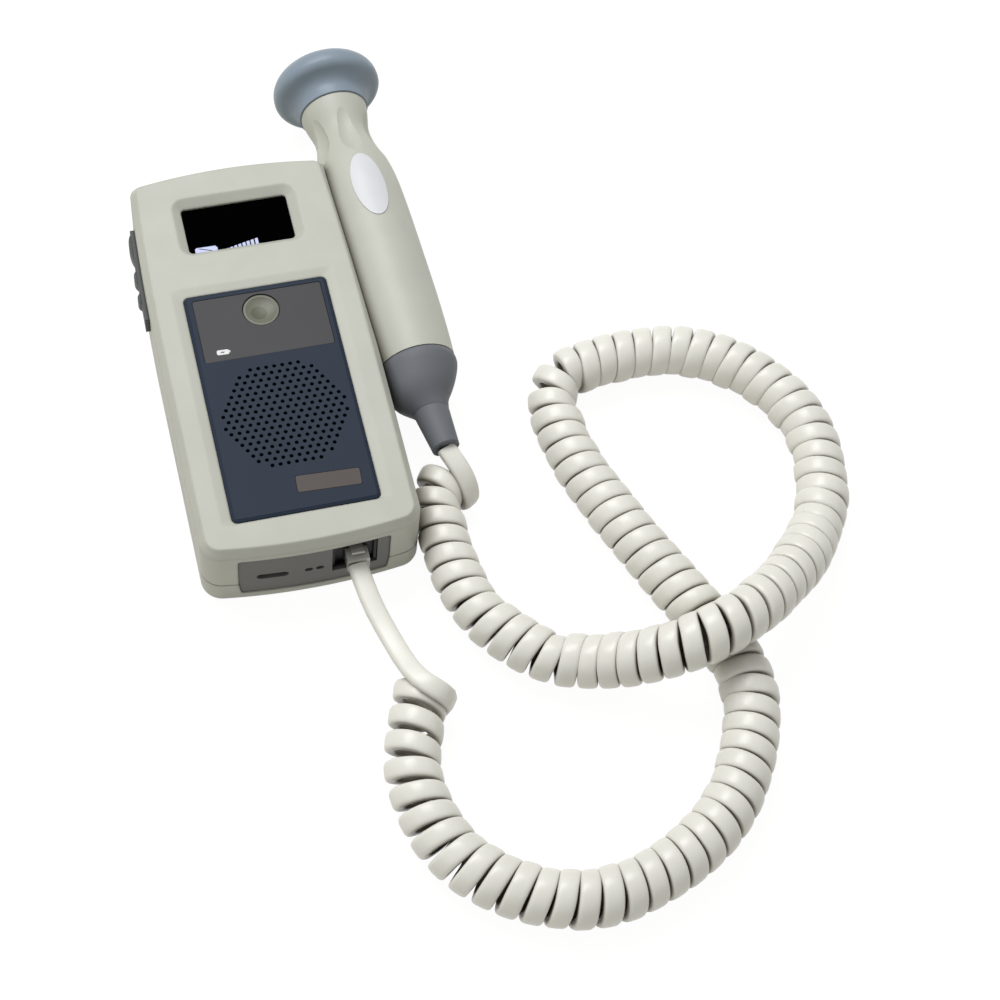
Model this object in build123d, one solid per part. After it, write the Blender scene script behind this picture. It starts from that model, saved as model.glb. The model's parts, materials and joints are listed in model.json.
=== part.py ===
from build123d import *
import os
from math import cos, pi, radians, sin, tan

# Fetal doppler monitor: a hand-held housing that lies on its back, with the ultrasound
# probe at rest in a scooped bay along its right side and a curly cord between the two.
# Millimetres. X is across the housing, +Y points to the display end and +Z out of the
# front face. The origin is the middle of the flat rear face that the housing lies on.

# ---------------------------------------------------------------- driving dimensions
# Housing
HALF_WIDTH = 37.2
SIDE_CLOSING = 2.25
HALF_LENGTH = 78.95
END_BOW = 3.05
TAPER_START = 5.0
HEIGHT = 32.8
PARTING_HEIGHT = 12.0
PORT_CORNER_RADIUS = 7.4
DISPLAY_CORNER_RADIUS = 4.6
REAR_EDGE_RADIUS = 3.4
BEVEL_WIDTH = 3.2
BEVEL_DROP = 2.2
WALL = 2.2
FRONT_WALL = 2.8
SEAM_WIDTH = 0.35
SEAM_DEPTH = 0.45

# Clearances
FIT_GAP = 0.1
SLIDE_GAP = 0.2
REST_GAP = 0.3
PROBE_GAP = 0.4
BAY_GAP = 1.6

# Speaker panel, its recess and the label plate in it
PANEL_SIDE_MARGIN = 12.2
PANEL_PORT_MARGIN = 13.35
PANEL_DISPLAY_MARGIN = 54.05
PANEL_RADIUS = 2.0
PANEL_THICKNESS = 1.8
PANEL_BEVEL_WIDTH = 1.0
PANEL_BEVEL_DROP = 0.5
RECESS_DEPTH = 0.75
RECESS_SLOPE = 3.6
RECESS_LOW_SLOPE = 0.9
LABEL_OFFSET = 0.2
LABEL_SIDE_MARGIN = 2.5
LABEL_TOP_MARGIN = 2.1
LABEL_HEIGHT = 25.9
LABEL_THICKNESS = 0.45
LABEL_POCKET = 0.6
LABEL_RADIUS = 0.8
BADGE_SIDE_MARGIN = 15.8
BADGE_RISE = 9.8
BADGE_SIZE = (21.6, 6.3)
BADGE_TURN = -2.4
BADGE_THICKNESS = 0.45
BADGE_RADIUS = 0.7

# Speaker and its grille
SPEAKER_OFFSET = 0.35
SPEAKER_RISE = 38.05
SPEAKER_RADIUS = 18.0
SPEAKER_ROOM = 1.5
SPEAKER_FLANGE = 1.2
SPEAKER_RING_HEIGHT = 2.4
CONE_THICKNESS = 0.5
CONE_CAP_RADIUS = 5.0
MAGNET_RADIUS = 9.5
MAGNET_HEIGHT = 3.4
GRILLE_PITCH = 2.763
GRILLE_HOLE = 1.25
GRILLE_HOLE_SIDES = 6
GRILLE_MARGIN = 2.0
GRILLE_ROWS = (7, 10, 11, 12, 13, 14, 15, 16, 15, 16, 15, 14, 13, 12, 11, 10, 7)

# Display
WINDOW_OFFSET = -0.2
WINDOW_SIDE_MARGIN = 18.35
WINDOW_END_MARGIN = 25.25
WINDOW_HEIGHT = 19.2
WINDOW_RADIUS = 1.5
BEZEL_SIDE_SLOPE = 3.25
BEZEL_LOW_SLOPE = 2.4
BEZEL_HIGH_SLOPE = 3.2
BEZEL_RADIUS = 4.8
BEZEL_DEPTH = 2.4
BEZEL_LIP = 0.9
WINDOW_THICKNESS = 1.2
WINDOW_MARGIN = 1.6
MODULE_THICKNESS = 3.4
MODULE_MARGIN = 2.6
MODULE_LEG = 2.0

# Front button and its switch
BUTTON_OFFSET = 0.5
BUTTON_TOP_MARGIN = 9.7
BUTTON_RADIUS = 6.2
BUTTON_RECESS = 0.5
BUTTON_TRAVEL = 1.0
BUTTON_EDGE = 0.8
BUTTON_DISH_DEPTH = 0.8
BUTTON_FLANGE = 0.9
BUTTON_FLANGE_THICKNESS = 1.1
STEM_RADIUS = 1.4
SWITCH_SIZE = 6.0
SWITCH_HEIGHT = 3.6
SWITCH_BORE_DEPTH = 2.5

# Keypad on the left wall: each key's distance from the display end and its length
KEYPAD_END_MARGIN = 16.75
KEYPAD_LENGTH = 38.4
KEYPAD_BOTTOM = 17.2
KEYPAD_TOP = 24.4
KEYPAD_PROUD = 1.6
KEY_PROUD = 2.7
KEY_HEIGHT = 4.8
KEY_TRAVEL = 0.8
KEY_FLANGE = 0.8
SIDE_STEM_ENTRY = 0.7
SIDE_SWITCH_DEPTH = 2.4
SIDE_SWITCH_HALF = 2.3
KEY_PLACES = {"side_key_upper": (23.45, 12.0), "side_key_middle": (36.05, 6.0),
              "side_key_lower": (45.05, 4.8)}

# Boards
BOARD_THICKNESS = 1.6
MAIN_BOARD_TOP = 20.6
MAIN_BOARD_LOW = -7.0
MAIN_BOARD_END_MARGIN = 12.45
MAIN_BOARD_LEFT_MARGIN = 9.4
MAIN_BOARD_RIGHT_MARGIN = 10.2
SIDE_BOARD_THICKNESS = 1.2
SIDE_BOARD_HALF_HEIGHT = 5.5
BOARD_SCREW_REACH = 4.5
POST_RADIUS = 2.2
POST_INSET = 3.2

# Battery compartment and door
CELL_RADIUS = 7.1
CELL_LENGTH = 49.5
CELL_NUB_LENGTH = 1.0
CELL_NUB_RADIUS = 2.7
CELL_GAP = 0.8
CELL_FLOOR = 3.2
CELL_SIDE_GAP = 1.0
SPRING_LENGTH = 1.2
TUB_PORT_GAP = 0.85
TUB_WALL = 1.2
CONTACT_PLATE = 0.4
CONTACT_HALF_WIDTH = 6.1
CONTACT_HALF_HEIGHT = 4.9
DOOR_SIDE_MARGIN = 4.4
DOOR_END_MARGIN = 2.5
DOOR_THICKNESS = 1.6
DOOR_LIFT = 0.1
LEDGE_TOP = 3.6
HOOK_WIDTH = 2.6
HOOK_REACH = 2.4
HOOK_THICKNESS = 1.1
DOOR_GRIP_COUNT = 6
DOOR_GRIP_PITCH = 1.6
DOOR_GRIP_MARGIN = 6.95
DOOR_GRIP_HALF_WIDTH = 9.0
DOOR_GRIP_DEPTH = 0.5

# Screws
SCREW_SHANK_RADIUS = 1.0
SCREW_HEAD_RADIUS = 2.0
SCREW_HEAD_HEIGHT = 1.3
BOSS_RADIUS = 2.8
PORT_SCREW_SIDE_MARGIN = 8.7
PORT_SCREW_END_MARGIN = 10.95
DISPLAY_SCREW_LEFT_MARGIN = 10.7
DISPLAY_SCREW_RIGHT_MARGIN = 12.2
DISPLAY_SCREW_END_MARGIN = 8.55
BOSS_ROOT_RADIUS = 3.4
BOSS_ROOT_TOP = 6.5
BORE_GAP = 0.05
CASE_SCREW_RECESS = 4.0
CASE_SCREW_REACH = 8.0

# Port end
PORT_HALF_WIDTH = 25.6
PORT_LOW_HALF_WIDTH = 24.8
PORT_TOP_MARGIN = 5.4
PORT_BOTTOM = 5.6
PORT_RADIUS = 1.0
PORT_SETBACK = 0.4
JACK_LEFT = 5.8
JACK_RIGHT = 21.3
JACK_TOP_MARGIN = 0.4
JACK_HEIGHT = 15.5
JACK_DEPTH = 14.0
JACK_SETBACK = 1.2
JACK_LIP = 1.2
PORT_BOW_DROP = 2.3
DATA_PORT_BOW_DROP = 1.0
JACK_WIRE_HEIGHT = 5.5
LATCH_SLOT_HEIGHT = 4.4
SLOT_X = -14.25
SLOT_RISE = 3.7
SLOT_SIZE = (10.7, 3.0)
EYES = (-2.1, 1.6)
EYE_RISE = 4.1
EYE_SIZE = (2.8, 2.0)
PORT_BOARD_THICKNESS = 1.6
PORT_BOARD_SIDE_GAP = 3.2
PORT_POST_INSET = 2.5
PORT_POST_END_MARGIN = 9.95
DATA_PORT_DEPTH = 8.0

# Modular plug
PLUG_CENTRE_X = 14.3
PLUG_WIDTH = 7.6
PLUG_RISE = 2.0
PLUG_HEIGHT = 6.5
PLUG_PROUD = 1.7
PLUG_LENGTH = 13.25
LATCH_WIDTH = 4.4
LATCH_THICKNESS = 0.8
LATCH_LENGTH = 11.4
LATCH_INSET = 1.2
LATCH_RISE_ANGLE = 13.0
PLUG_CONTACT_PITCH = 1.27
PLUG_CONTACT_COUNT = 4
PLUG_CONTACT_THICKNESS = 0.4
BLADE_LENGTH = 3.6
BLADE_HEIGHT = 2.0

# Probe: a turned form about a level axis that runs beside the housing
PROBE_SIDE_GAP = 12.5
PROBE_HEIGHT = 20.0
PROBE_YAW = 2.51
PROBE_WALL = 2.0
BODY_START = -10.4
BODY_END = 103.4
BODY_PROFILE = ((BODY_START, 13.9), (8, 14.75), (38, 15.05), (60, 14.9), (73, 13.9), (83, 11.6),
                (91, 10.2), (97.5, 11.3), (BODY_END, 12.35))
SEAM_GAP = 0.15
FLUTE_COUNT = 6
FLUTE_START_ANGLE = 33.5
FLUTE_CENTRE = 88.5
FLUTE_SWING = 20.2
FLUTE_HOLLOW = 6.0
FLUTE_HALF_WIDTH = 4.5
FLUTE_DEPTH = 1.0
HEAD_LIP_RADIUS = 12.95
HEAD_LIP_WIDTH = 1.8
RIM_PLANE = 114.9
RIM_CENTRE_RADIUS = 13.6
RIM_RADIUS = 6.3
RIM_BACK_RADIUS = 3.2
RIM_FLAT = 0.7
FLARE_ANGLE = 12.0
FACE_RADIUS = 13.5
FACE_THICKNESS = 1.6
FACE_DOME = 0.8
CRYSTAL_RADIUS = 11.0
CRYSTAL_THICKNESS = 0.8
CRYSTAL_GAP = 1.2
THROAT_MARGIN = 1.0
BACKING_THICKNESS = 6.0
# Stations, radii and shifts toward the housing of the boot's round sections
BOOT_START = -10.6
BOOT_SECTIONS = ((BOOT_START, 13.7, 0), (-14.5, 13.75, 0.1), (-18.5, 12.6, 0.7), (-22, 11.2, 1.3),
                 (-25, 9.3, 1.4), (-27.3, 7.6, 0.8), (-29.5, 6.3, 0))
BOOT_TIP_SIDE_GAP = 15.45
BOOT_TIP_Y = -44.4
BOOT_TIP_RADIUS = 4.85
BOOT_NECK_OVERLAP = 1.0
SPIGOT_LENGTH = 4.0
HEAD_FLOOR = 2.5
PROBE_LABEL_CENTRE = 59.4
PROBE_LABEL_SIZE = (28.4, 12.0)
PROBE_LABEL_ANGLE = 84.8
PROBE_LABEL_THICKNESS = 0.25
PROBE_BOARD_LENGTH = 50.0
PROBE_BOARD_THICKNESS = 1.2
PROBE_BOARD_CENTRE = 36.0

# Cradle that carries the probe
CRADLE_LOW = -3.0
CRADLE_HIGH = 60.0
CRADLE_WIDTH = 20.8
CRADLE_TOP = 9.0
CRADLE_ARM = 15.0
CRADLE_RAIL = 4.5

# Curly cord: straight leads at both ends and one coiled stretch between them
CORD_DIAMETER = 5.4
COIL_DIAMETER = 18.8
PLUG_LEAD_ROUTE = [(13.9, -80.92, 16.7), (14.4, -88, 16.3), (16.5, -99, 15), (19.5, -112, 15),
                   (24, -124, 17), (31, -133, 17.5), (36.5, -136, 10)]
COIL_ROUTE = [(33, -130.5, 9.6), (19.5, -139, 9.6), (14.5, -160, 9.6), (21, -184, 9.6), (39, -202, 9.6),
              (64, -210.5, 9.6), (90, -204.5, 9.6), (113, -190, 9.6), (127, -168, 9.6), (133, -147, 9.6),
              (127, -126, 9.6), (116.5, -103, 9.6), (105.5, -77, 9.6), (95.5, -48, 9.6), (95, -19, 9.6),
              (121, -13.5, 9.6), (148, -15, 9.6), (171, -31, 9.6), (183.5, -56, 9.6), (183, -84, 9.6),
              (165, -107, 9.6), (149, -118, 15), (134, -128.5, 31), (117, -137, 31.5), (103.5, -137, 19),
              (88, -131, 9.6), (65, -122, 9.6), (49, -103, 9.6), (47.4, -80, 9.6), (47.4, -58, 9.6)]
PROBE_LEAD_ROUTE = [(52.67, -44.6, 20), (53.7, -53, 19.6), (58.2, -61.5, 14), (54.8, -67, 7.5),
                    (48, -64.5, 7)]
ARC_SHARE = 0.45

# ---------------------------------------------------------------- sizes and places that follow
DISPLAY_END_HALF_WIDTH = HALF_WIDTH - SIDE_CLOSING
ROOF = HEIGHT - FRONT_WALL

PANEL_HALF_WIDTH = HALF_WIDTH - PANEL_SIDE_MARGIN
PANEL_LOW = -HALF_LENGTH + PANEL_PORT_MARGIN
PANEL_HIGH = HALF_LENGTH - PANEL_DISPLAY_MARGIN
PANEL_SIZE = (2 * PANEL_HALF_WIDTH, PANEL_HIGH - PANEL_LOW)
PANEL_CENTRE = (0, (PANEL_HIGH + PANEL_LOW) / 2)
PANEL_SEAT = HEIGHT - PANEL_THICKNESS
LABEL_SIZE = (2 * (PANEL_HALF_WIDTH - LABEL_SIDE_MARGIN), LABEL_HEIGHT)
LABEL_LOW = PANEL_HIGH - LABEL_TOP_MARGIN - LABEL_HEIGHT
LABEL_CENTRE = (LABEL_OFFSET, LABEL_LOW + LABEL_HEIGHT / 2)
BADGE_CENTRE = (PANEL_HALF_WIDTH - BADGE_SIDE_MARGIN, PANEL_LOW + BADGE_RISE)
BADGE_HIGH = BADGE_CENTRE[1] + BADGE_SIZE[1] / 2
BUTTON_CENTRE = (BUTTON_OFFSET, PANEL_HIGH - BUTTON_TOP_MARGIN)
BUTTON_HOLE_RADIUS = BUTTON_RADIUS + REST_GAP

WINDOW_SIZE = (2 * (HALF_WIDTH - WINDOW_SIDE_MARGIN), WINDOW_HEIGHT)
WINDOW_CENTRE = (WINDOW_OFFSET, HALF_LENGTH - WINDOW_END_MARGIN)
BEZEL_SIZE = (WINDOW_SIZE[0] + 2 * BEZEL_SIDE_SLOPE, WINDOW_SIZE[1] + BEZEL_LOW_SLOPE + BEZEL_HIGH_SLOPE)
BEZEL_CENTRE = (0, WINDOW_CENTRE[1] + (BEZEL_HIGH_SLOPE - BEZEL_LOW_SLOPE) / 2)
BEZEL_FLOOR = HEIGHT - BEZEL_DEPTH
WINDOW_TOP = BEZEL_FLOOR - BEZEL_LIP
WINDOW_BACK = WINDOW_TOP - WINDOW_THICKNESS

MAIN_BOARD_HIGH = HALF_LENGTH - MAIN_BOARD_END_MARGIN
MAIN_BOARD_LEFT = -HALF_WIDTH + MAIN_BOARD_LEFT_MARGIN
MAIN_BOARD_RIGHT = HALF_WIDTH - MAIN_BOARD_RIGHT_MARGIN
BUTTON_STEM_END = MAIN_BOARD_TOP + SWITCH_HEIGHT - SWITCH_BORE_DEPTH + BUTTON_TRAVEL + FIT_GAP
KEYPAD_HIGH = HALF_LENGTH - KEYPAD_END_MARGIN
KEYPAD_LOW = KEYPAD_HIGH - KEYPAD_LENGTH
KEYPAD_MIDDLE = (KEYPAD_BOTTOM + KEYPAD_TOP) / 2
KEYS = {name: (HALF_LENGTH - margin, length) for name, (margin, length) in KEY_PLACES.items()}
SIDE_SWITCH_FACE = MAIN_BOARD_LEFT - SIDE_BOARD_THICKNESS - SIDE_SWITCH_DEPTH
SIDE_STEM_END = SIDE_SWITCH_FACE + SIDE_STEM_ENTRY

CASE_SCREWS = ((-HALF_WIDTH + PORT_SCREW_SIDE_MARGIN, -HALF_LENGTH + PORT_SCREW_END_MARGIN),
               (HALF_WIDTH - PORT_SCREW_SIDE_MARGIN, -HALF_LENGTH + PORT_SCREW_END_MARGIN),
               (-HALF_WIDTH + DISPLAY_SCREW_LEFT_MARGIN, HALF_LENGTH - DISPLAY_SCREW_END_MARGIN),
               (HALF_WIDTH - DISPLAY_SCREW_RIGHT_MARGIN, HALF_LENGTH - DISPLAY_SCREW_END_MARGIN))

PORT_TOP = HEIGHT - PORT_TOP_MARGIN
PORT_CUT_END = -HALF_LENGTH + WALL + PORT_BOW_DROP
JACK_TOP = PORT_TOP - JACK_TOP_MARGIN
JACK_BOTTOM = JACK_TOP - JACK_HEIGHT
JACK_FACE = -HALF_LENGTH + PORT_SETBACK + JACK_SETBACK + REST_GAP
JACK_BACK = JACK_FACE + JACK_DEPTH
SLOT_CENTRE = (SLOT_X, JACK_BOTTOM + SLOT_RISE)
EYE_HEIGHT = JACK_BOTTOM + EYE_RISE
PORT_BOARD_TOP = JACK_BOTTOM
PORT_BOARD_FRONT = -HALF_LENGTH + WALL + END_BOW / 2
PORT_BOARD_HALF_WIDTH = CASE_SCREWS[1][0] - BOSS_RADIUS - PORT_BOARD_SIDE_GAP
PORT_POST_X = PORT_BOARD_HALF_WIDTH - PORT_POST_INSET
PORT_POST_Y = -HALF_LENGTH + PORT_POST_END_MARGIN
DATA_PORT_FACE = -HALF_LENGTH + WALL + REST_GAP + DATA_PORT_BOW_DROP
PLUG_BOTTOM = JACK_BOTTOM + PLUG_RISE
PLUG_REAR = -HALF_LENGTH - PLUG_PROUD
PLUG_FRONT = PLUG_REAR + PLUG_LENGTH
LATCH_PIVOT = (PLUG_CENTRE_X, PLUG_FRONT - LATCH_INSET,
               PLUG_BOTTOM + PLUG_HEIGHT + LATCH_THICKNESS / 2 + FIT_GAP)

CELL_SPACING = 2 * CELL_RADIUS + CELL_GAP
CELL_HEIGHT = CELL_FLOOR + CELL_RADIUS
TUB_HALF_WIDTH = CELL_SPACING / 2 + CELL_RADIUS + CELL_SIDE_GAP
TUB_LOW = JACK_BACK + TUB_PORT_GAP + TUB_WALL
TUB_HIGH = TUB_LOW + 2 * CONTACT_PLATE + CELL_LENGTH + CELL_NUB_LENGTH + SPRING_LENGTH
TUB_ROOF = CELL_HEIGHT + CELL_RADIUS + REST_GAP
DOOR_HALF_WIDTH = TUB_HALF_WIDTH + DOOR_SIDE_MARGIN
DOOR_HIGH = TUB_HIGH + DOOR_END_MARGIN
DOOR_GRIP_LOW = -HALF_LENGTH + DOOR_GRIP_MARGIN
OUTER_HOOK = TUB_HALF_WIDTH - HOOK_WIDTH / 2 - REST_GAP
HOOKS = (-OUTER_HOOK, 0, OUTER_HOOK)
SPEAKER_CENTRE = (SPEAKER_OFFSET, PANEL_LOW + SPEAKER_RISE)
SPEAKER_DEPTH = ROOF - TUB_ROOF - TUB_WALL - SPEAKER_ROOM

PROBE_ORIGIN = (HALF_WIDTH + PROBE_SIDE_GAP, 0, PROBE_HEIGHT)
BOOT_TIP = (HALF_WIDTH + BOOT_TIP_SIDE_GAP, BOOT_TIP_Y, PROBE_HEIGHT)
BOOT_SPIGOT_RADIUS = BODY_PROFILE[0][1] - PROBE_WALL - SLIDE_GAP
HEAD_SPIGOT_RADIUS = BODY_PROFILE[-2][1] - PROBE_WALL + FIT_GAP
PROBE_BOARD_WIDTH = 2 * (BODY_PROFILE[1][1] - PROBE_WALL - REST_GAP)


# ---------------------------------------------------------------- helpers
def block(x_low, x_high, y_low, y_high, z_low, z_high):
    """Box between two corners."""
    centre = Pos((x_low + x_high) / 2, (y_low + y_high) / 2, (z_low + z_high) / 2)
    return centre * Box(x_high - x_low, y_high - y_low, z_high - z_low)


def rod(x, y, z_low, z_high, radius):
    """Upright cylinder."""
    return Pos(x, y, (z_low + z_high) / 2) * Cylinder(radius, z_high - z_low)


def tablet(centre, size, radius, z_low, z_high):
    """Upright prism on a rounded rectangle."""
    return Pos(centre[0], centre[1], z_low) * extrude(RectangleRounded(*size, radius), z_high - z_low)


def funnel(lower, upper, z_low, z_high):
    """Prism between two rounded rectangles, each given as centre, size and radius."""
    faces = [Pos(*centre, z) * RectangleRounded(*size, radius)
             for (centre, size, radius), z in ((lower, z_low), (upper, z_high))]
    return loft(faces)


def housing_outline(inset=0):
    """Plan of the housing, drawn in by inset: bowed ends, sides that close in toward the display."""
    wide, narrow = HALF_WIDTH - inset, DISPLAY_END_HALF_WIDTH - inset
    end = HALF_LENGTH - inset
    side = end - END_BOW
    edges = [ThreePointArc((-wide, -side), (0, -end), (wide, -side)),
             Line((wide, -side), (wide, TAPER_START)),
             TangentArc((wide, TAPER_START), (narrow, side), tangent=(0, 1)),
             ThreePointArc((narrow, side), (0, end), (-narrow, side)),
             TangentArc((-wide, TAPER_START), (-narrow, side), tangent=(0, 1)),
             Line((-wide, TAPER_START), (-wide, -side))]
    plan = make_face(edges)
    plan = fillet(plan.vertices().sort_by(Axis.Y)[:2], PORT_CORNER_RADIUS - inset)
    return fillet(plan.vertices().sort_by(Axis.Y)[-2:], DISPLAY_CORNER_RADIUS - inset)


def prism(inset, z_low, z_high):
    """Upright prism on the housing's plan, drawn in all round by inset."""
    return Pos(0, 0, z_low) * extrude(housing_outline(inset), z_high - z_low)


def housing_block():
    """The whole housing as one solid: bevelled front edge and rounded rear edge."""
    solid = prism(0, 0, HEIGHT)
    front = solid.faces().sort_by(Axis.Z)[-1]
    solid = chamfer(front.edges(), BEVEL_DROP, BEVEL_WIDTH, reference=solid.faces().sort_by(Axis.Z)[-1])
    rear = solid.faces().sort_by(Axis.Z)[0]
    return fillet(rear.edges(), REAR_EDGE_RADIUS)


# ---------------------------------------------------------------- probe forms
PROBE_FRAME = Location(PROBE_ORIGIN, (0, 0, 90 + PROBE_YAW))


def turned(points, grow=0.0):
    """Solid of revolution about the probe's axis through (station, radius) points."""
    stations = [(s, r + grow) for s, r in points]
    curve = Spline(*stations)
    (s_first, r_first), (s_last, r_last) = stations[0], stations[-1]
    sides = [Line((s_first, 0), (s_first, r_first)), Line((s_last, r_last), (s_last, 0)),
             Line((s_last, 0), (s_first, 0))]
    return PROBE_FRAME * revolve(make_face([curve] + sides), Axis.X)


def collar(s_low, s_high, radius):
    """Cylinder about the probe's axis."""
    return PROBE_FRAME * (Pos((s_low + s_high) / 2, 0, 0) * Rot(0, 90, 0) * Cylinder(radius, s_high - s_low))


def boot_form(grow=0.0):
    """Bulb of the boot, lofted through its round sections."""
    sections = [Plane(origin=(station, shift, 0), z_dir=(1, 0, 0)) * Circle(radius + grow)
                for station, radius, shift in BOOT_SECTIONS]
    return PROBE_FRAME * loft(sections)


def bay_tool(grow):
    """Space that the probe takes up beside the housing, grown by a clearance."""
    return turned(BODY_PROFILE, grow) + boot_form(grow)


def lathe(*edges):
    """Solid of revolution about the probe's axis from the edges of a closed outline."""
    return PROBE_FRAME * revolve(make_face(edges), Axis.X)


def flutes():
    """Barrels that hollow the waist of the probe's body into shallow finger grooves."""
    drop = FLUTE_HALF_WIDTH ** 2 / (2 * FLUTE_HOLLOW)
    low, high = (FLUTE_SWING - drop, -FLUTE_HALF_WIDTH), (FLUTE_SWING - drop, FLUTE_HALF_WIDTH)
    edges = [ThreePointArc(low, (FLUTE_SWING, 0), high), Line(high, (0, FLUTE_HALF_WIDTH)),
             Line((0, FLUTE_HALF_WIDTH), (0, -FLUTE_HALF_WIDTH)), Line((0, -FLUTE_HALF_WIDTH), low)]
    barrel = Rot(90, 0, 0) * revolve(make_face(edges), Axis.Y)
    waist = min(radius for _, radius in BODY_PROFILE)
    barrel = Pos(FLUTE_CENTRE, waist - FLUTE_DEPTH + FLUTE_SWING, 0) * barrel
    step = 360 / FLUTE_COUNT
    return [PROBE_FRAME * Rot(FLUTE_START_ANGLE + step * number, 0, 0) * barrel
            for number in range(FLUTE_COUNT)]


def make_probe_body():
    """Turned grip, hollow from end to end, with finger flutes round its waist."""
    return turned(BODY_PROFILE) - turned(BODY_PROFILE, -PROBE_WALL) - flutes()


def make_probe_head():
    """Flared head: a lip at the seam, a hollow flare and a rim that is rounder in front."""
    start = BODY_END + SEAM_GAP
    lip_end = start + HEAD_LIP_WIDTH
    crest = RIM_CENTRE_RADIUS + RIM_RADIUS
    back = [(RIM_PLANE - RIM_FLAT - RIM_BACK_RADIUS * cos(angle), crest - RIM_BACK_RADIUS * (1 - sin(angle)))
            for angle in (radians(FLARE_ANGLE), radians(45), pi / 2)]
    round_front = [(RIM_PLANE + RIM_RADIUS * sin(angle), RIM_CENTRE_RADIUS + RIM_RADIUS * cos(angle))
                   for angle in (0, radians(45), pi / 2)]
    flare_end = (sin(radians(FLARE_ANGLE)), cos(radians(FLARE_ANGLE)))
    front = RIM_PLANE + RIM_RADIUS
    end_radius = BODY_PROFILE[-1][1]
    edges = [Line((start, 0), (start, end_radius)),
             Line((start, end_radius), (start + SEAM_GAP, HEAD_LIP_RADIUS)),
             Line((start + SEAM_GAP, HEAD_LIP_RADIUS), (lip_end, HEAD_LIP_RADIUS)),
             Spline((lip_end, HEAD_LIP_RADIUS), back[0], tangents=((1, 0), flare_end)),
             ThreePointArc(*back), Line(back[2], round_front[0]), ThreePointArc(*round_front),
             Line(round_front[2], (front, 0)), Line((front, 0), (start, 0))]
    solid = lathe(*edges) + collar(start - SPIGOT_LENGTH, start, HEAD_SPIGOT_RADIUS)
    face_seat = front - FACE_THICKNESS - FIT_GAP
    throat = lip_end + HEAD_FLOOR
    solid -= collar(start - SPIGOT_LENGTH, throat, HEAD_SPIGOT_RADIUS - PROBE_WALL)
    solid -= collar(throat, face_seat, CRYSTAL_RADIUS + THROAT_MARGIN)
    return solid - collar(face_seat, front, FACE_RADIUS)


def make_probe_face():
    """Slightly domed membrane that closes the front of the head."""
    back, rim = RIM_PLANE + RIM_RADIUS - FACE_THICKNESS, RIM_PLANE + RIM_RADIUS
    radius = FACE_RADIUS - FIT_GAP
    dome_radius = (radius ** 2 + FACE_DOME ** 2) / (2 * FACE_DOME)
    halfway = rim + FACE_DOME - dome_radius + (dome_radius ** 2 - radius ** 2 / 4) ** 0.5
    edges = [Line((back, 0), (back, radius)), Line((back, radius), (rim, radius)),
             ThreePointArc((rim, radius), (halfway, radius / 2), (rim + FACE_DOME, 0)),
             Line((rim + FACE_DOME, 0), (back, 0))]
    return lathe(*edges)


def make_probe_crystals():
    """Two half-disc crystals behind the membrane, one to send and one to receive."""
    back = RIM_PLANE + RIM_RADIUS - FACE_THICKNESS - CRYSTAL_THICKNESS
    disc = Rot(0, 90, 0) * Cylinder(CRYSTAL_RADIUS, CRYSTAL_THICKNESS)
    disc = Pos(back + CRYSTAL_THICKNESS / 2, 0, 0) * disc
    split = Pos(back, 0, 0) * Box(4 * CRYSTAL_THICKNESS, CRYSTAL_GAP, 3 * CRYSTAL_RADIUS)
    return PROBE_FRAME * (disc - split)


def make_probe_backing():
    front = RIM_PLANE + RIM_RADIUS - FACE_THICKNESS - CRYSTAL_THICKNESS
    return collar(front - BACKING_THICKNESS, front, CRYSTAL_RADIUS + THROAT_MARGIN - FIT_GAP)


def make_probe_board():
    """Amplifier board, held by its long edges against the inside of the grip."""
    board = Box(PROBE_BOARD_LENGTH, PROBE_BOARD_WIDTH, PROBE_BOARD_THICKNESS)
    return PROBE_FRAME * (Pos(PROBE_BOARD_CENTRE, 0, 0) * board)


def make_probe_boot():
    """Rubber boot that narrows to a strain relief, bent a little toward the cord."""
    neck_station, neck_radius, _ = BOOT_SECTIONS[-1]
    neck = (PROBE_FRAME * Pos(neck_station + BOOT_NECK_OVERLAP, 0, 0)).position
    reach = Vector(*BOOT_TIP) - neck
    relief = Plane(origin=neck, z_dir=reach)
    cone = relief * Cone(neck_radius, BOOT_TIP_RADIUS, reach.length,
                         align=(Align.CENTER, Align.CENTER, Align.MIN))
    spigot = collar(BOOT_START, BOOT_START + SPIGOT_LENGTH + SEAM_GAP, BOOT_SPIGOT_RADIUS)
    return boot_form() + cone + spigot


def make_probe_label():
    """Oval label that follows the curve of the grip."""
    length, width = PROBE_LABEL_SIZE
    prism_up = Rot(-90, 0, 0) * extrude(Ellipse(length / 2, width / 2), 2 * HALF_WIDTH)
    prism_up = PROBE_FRAME * Rot(180 - PROBE_LABEL_ANGLE, 0, 0) * Pos(PROBE_LABEL_CENTRE, 0, 0) * prism_up
    return (turned(BODY_PROFILE, PROBE_LABEL_THICKNESS) - turned(BODY_PROFILE)) & prism_up


def make_probe_cradle():
    """Two arms on a rail that carry the probe beside the housing, hollowed to its form."""
    reach = HALF_WIDTH + CRADLE_WIDTH
    solid = block(HALF_WIDTH - REAR_EDGE_RADIUS, reach, CRADLE_LOW, CRADLE_HIGH, 0, CRADLE_TOP)
    solid -= block(HALF_WIDTH + CRADLE_RAIL, reach, CRADLE_LOW + CRADLE_ARM, CRADLE_HIGH - CRADLE_ARM,
                   0, CRADLE_TOP)
    return solid - HOUSING - bay_tool(PROBE_GAP)


# ---------------------------------------------------------------- housing
HOUSING = housing_block()
BAY = bay_tool(BAY_GAP)
BAY_LINING = bay_tool(BAY_GAP + WALL)


def grown(size, by):
    return (size[0] + 2 * by, size[1] + 2 * by)


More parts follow.
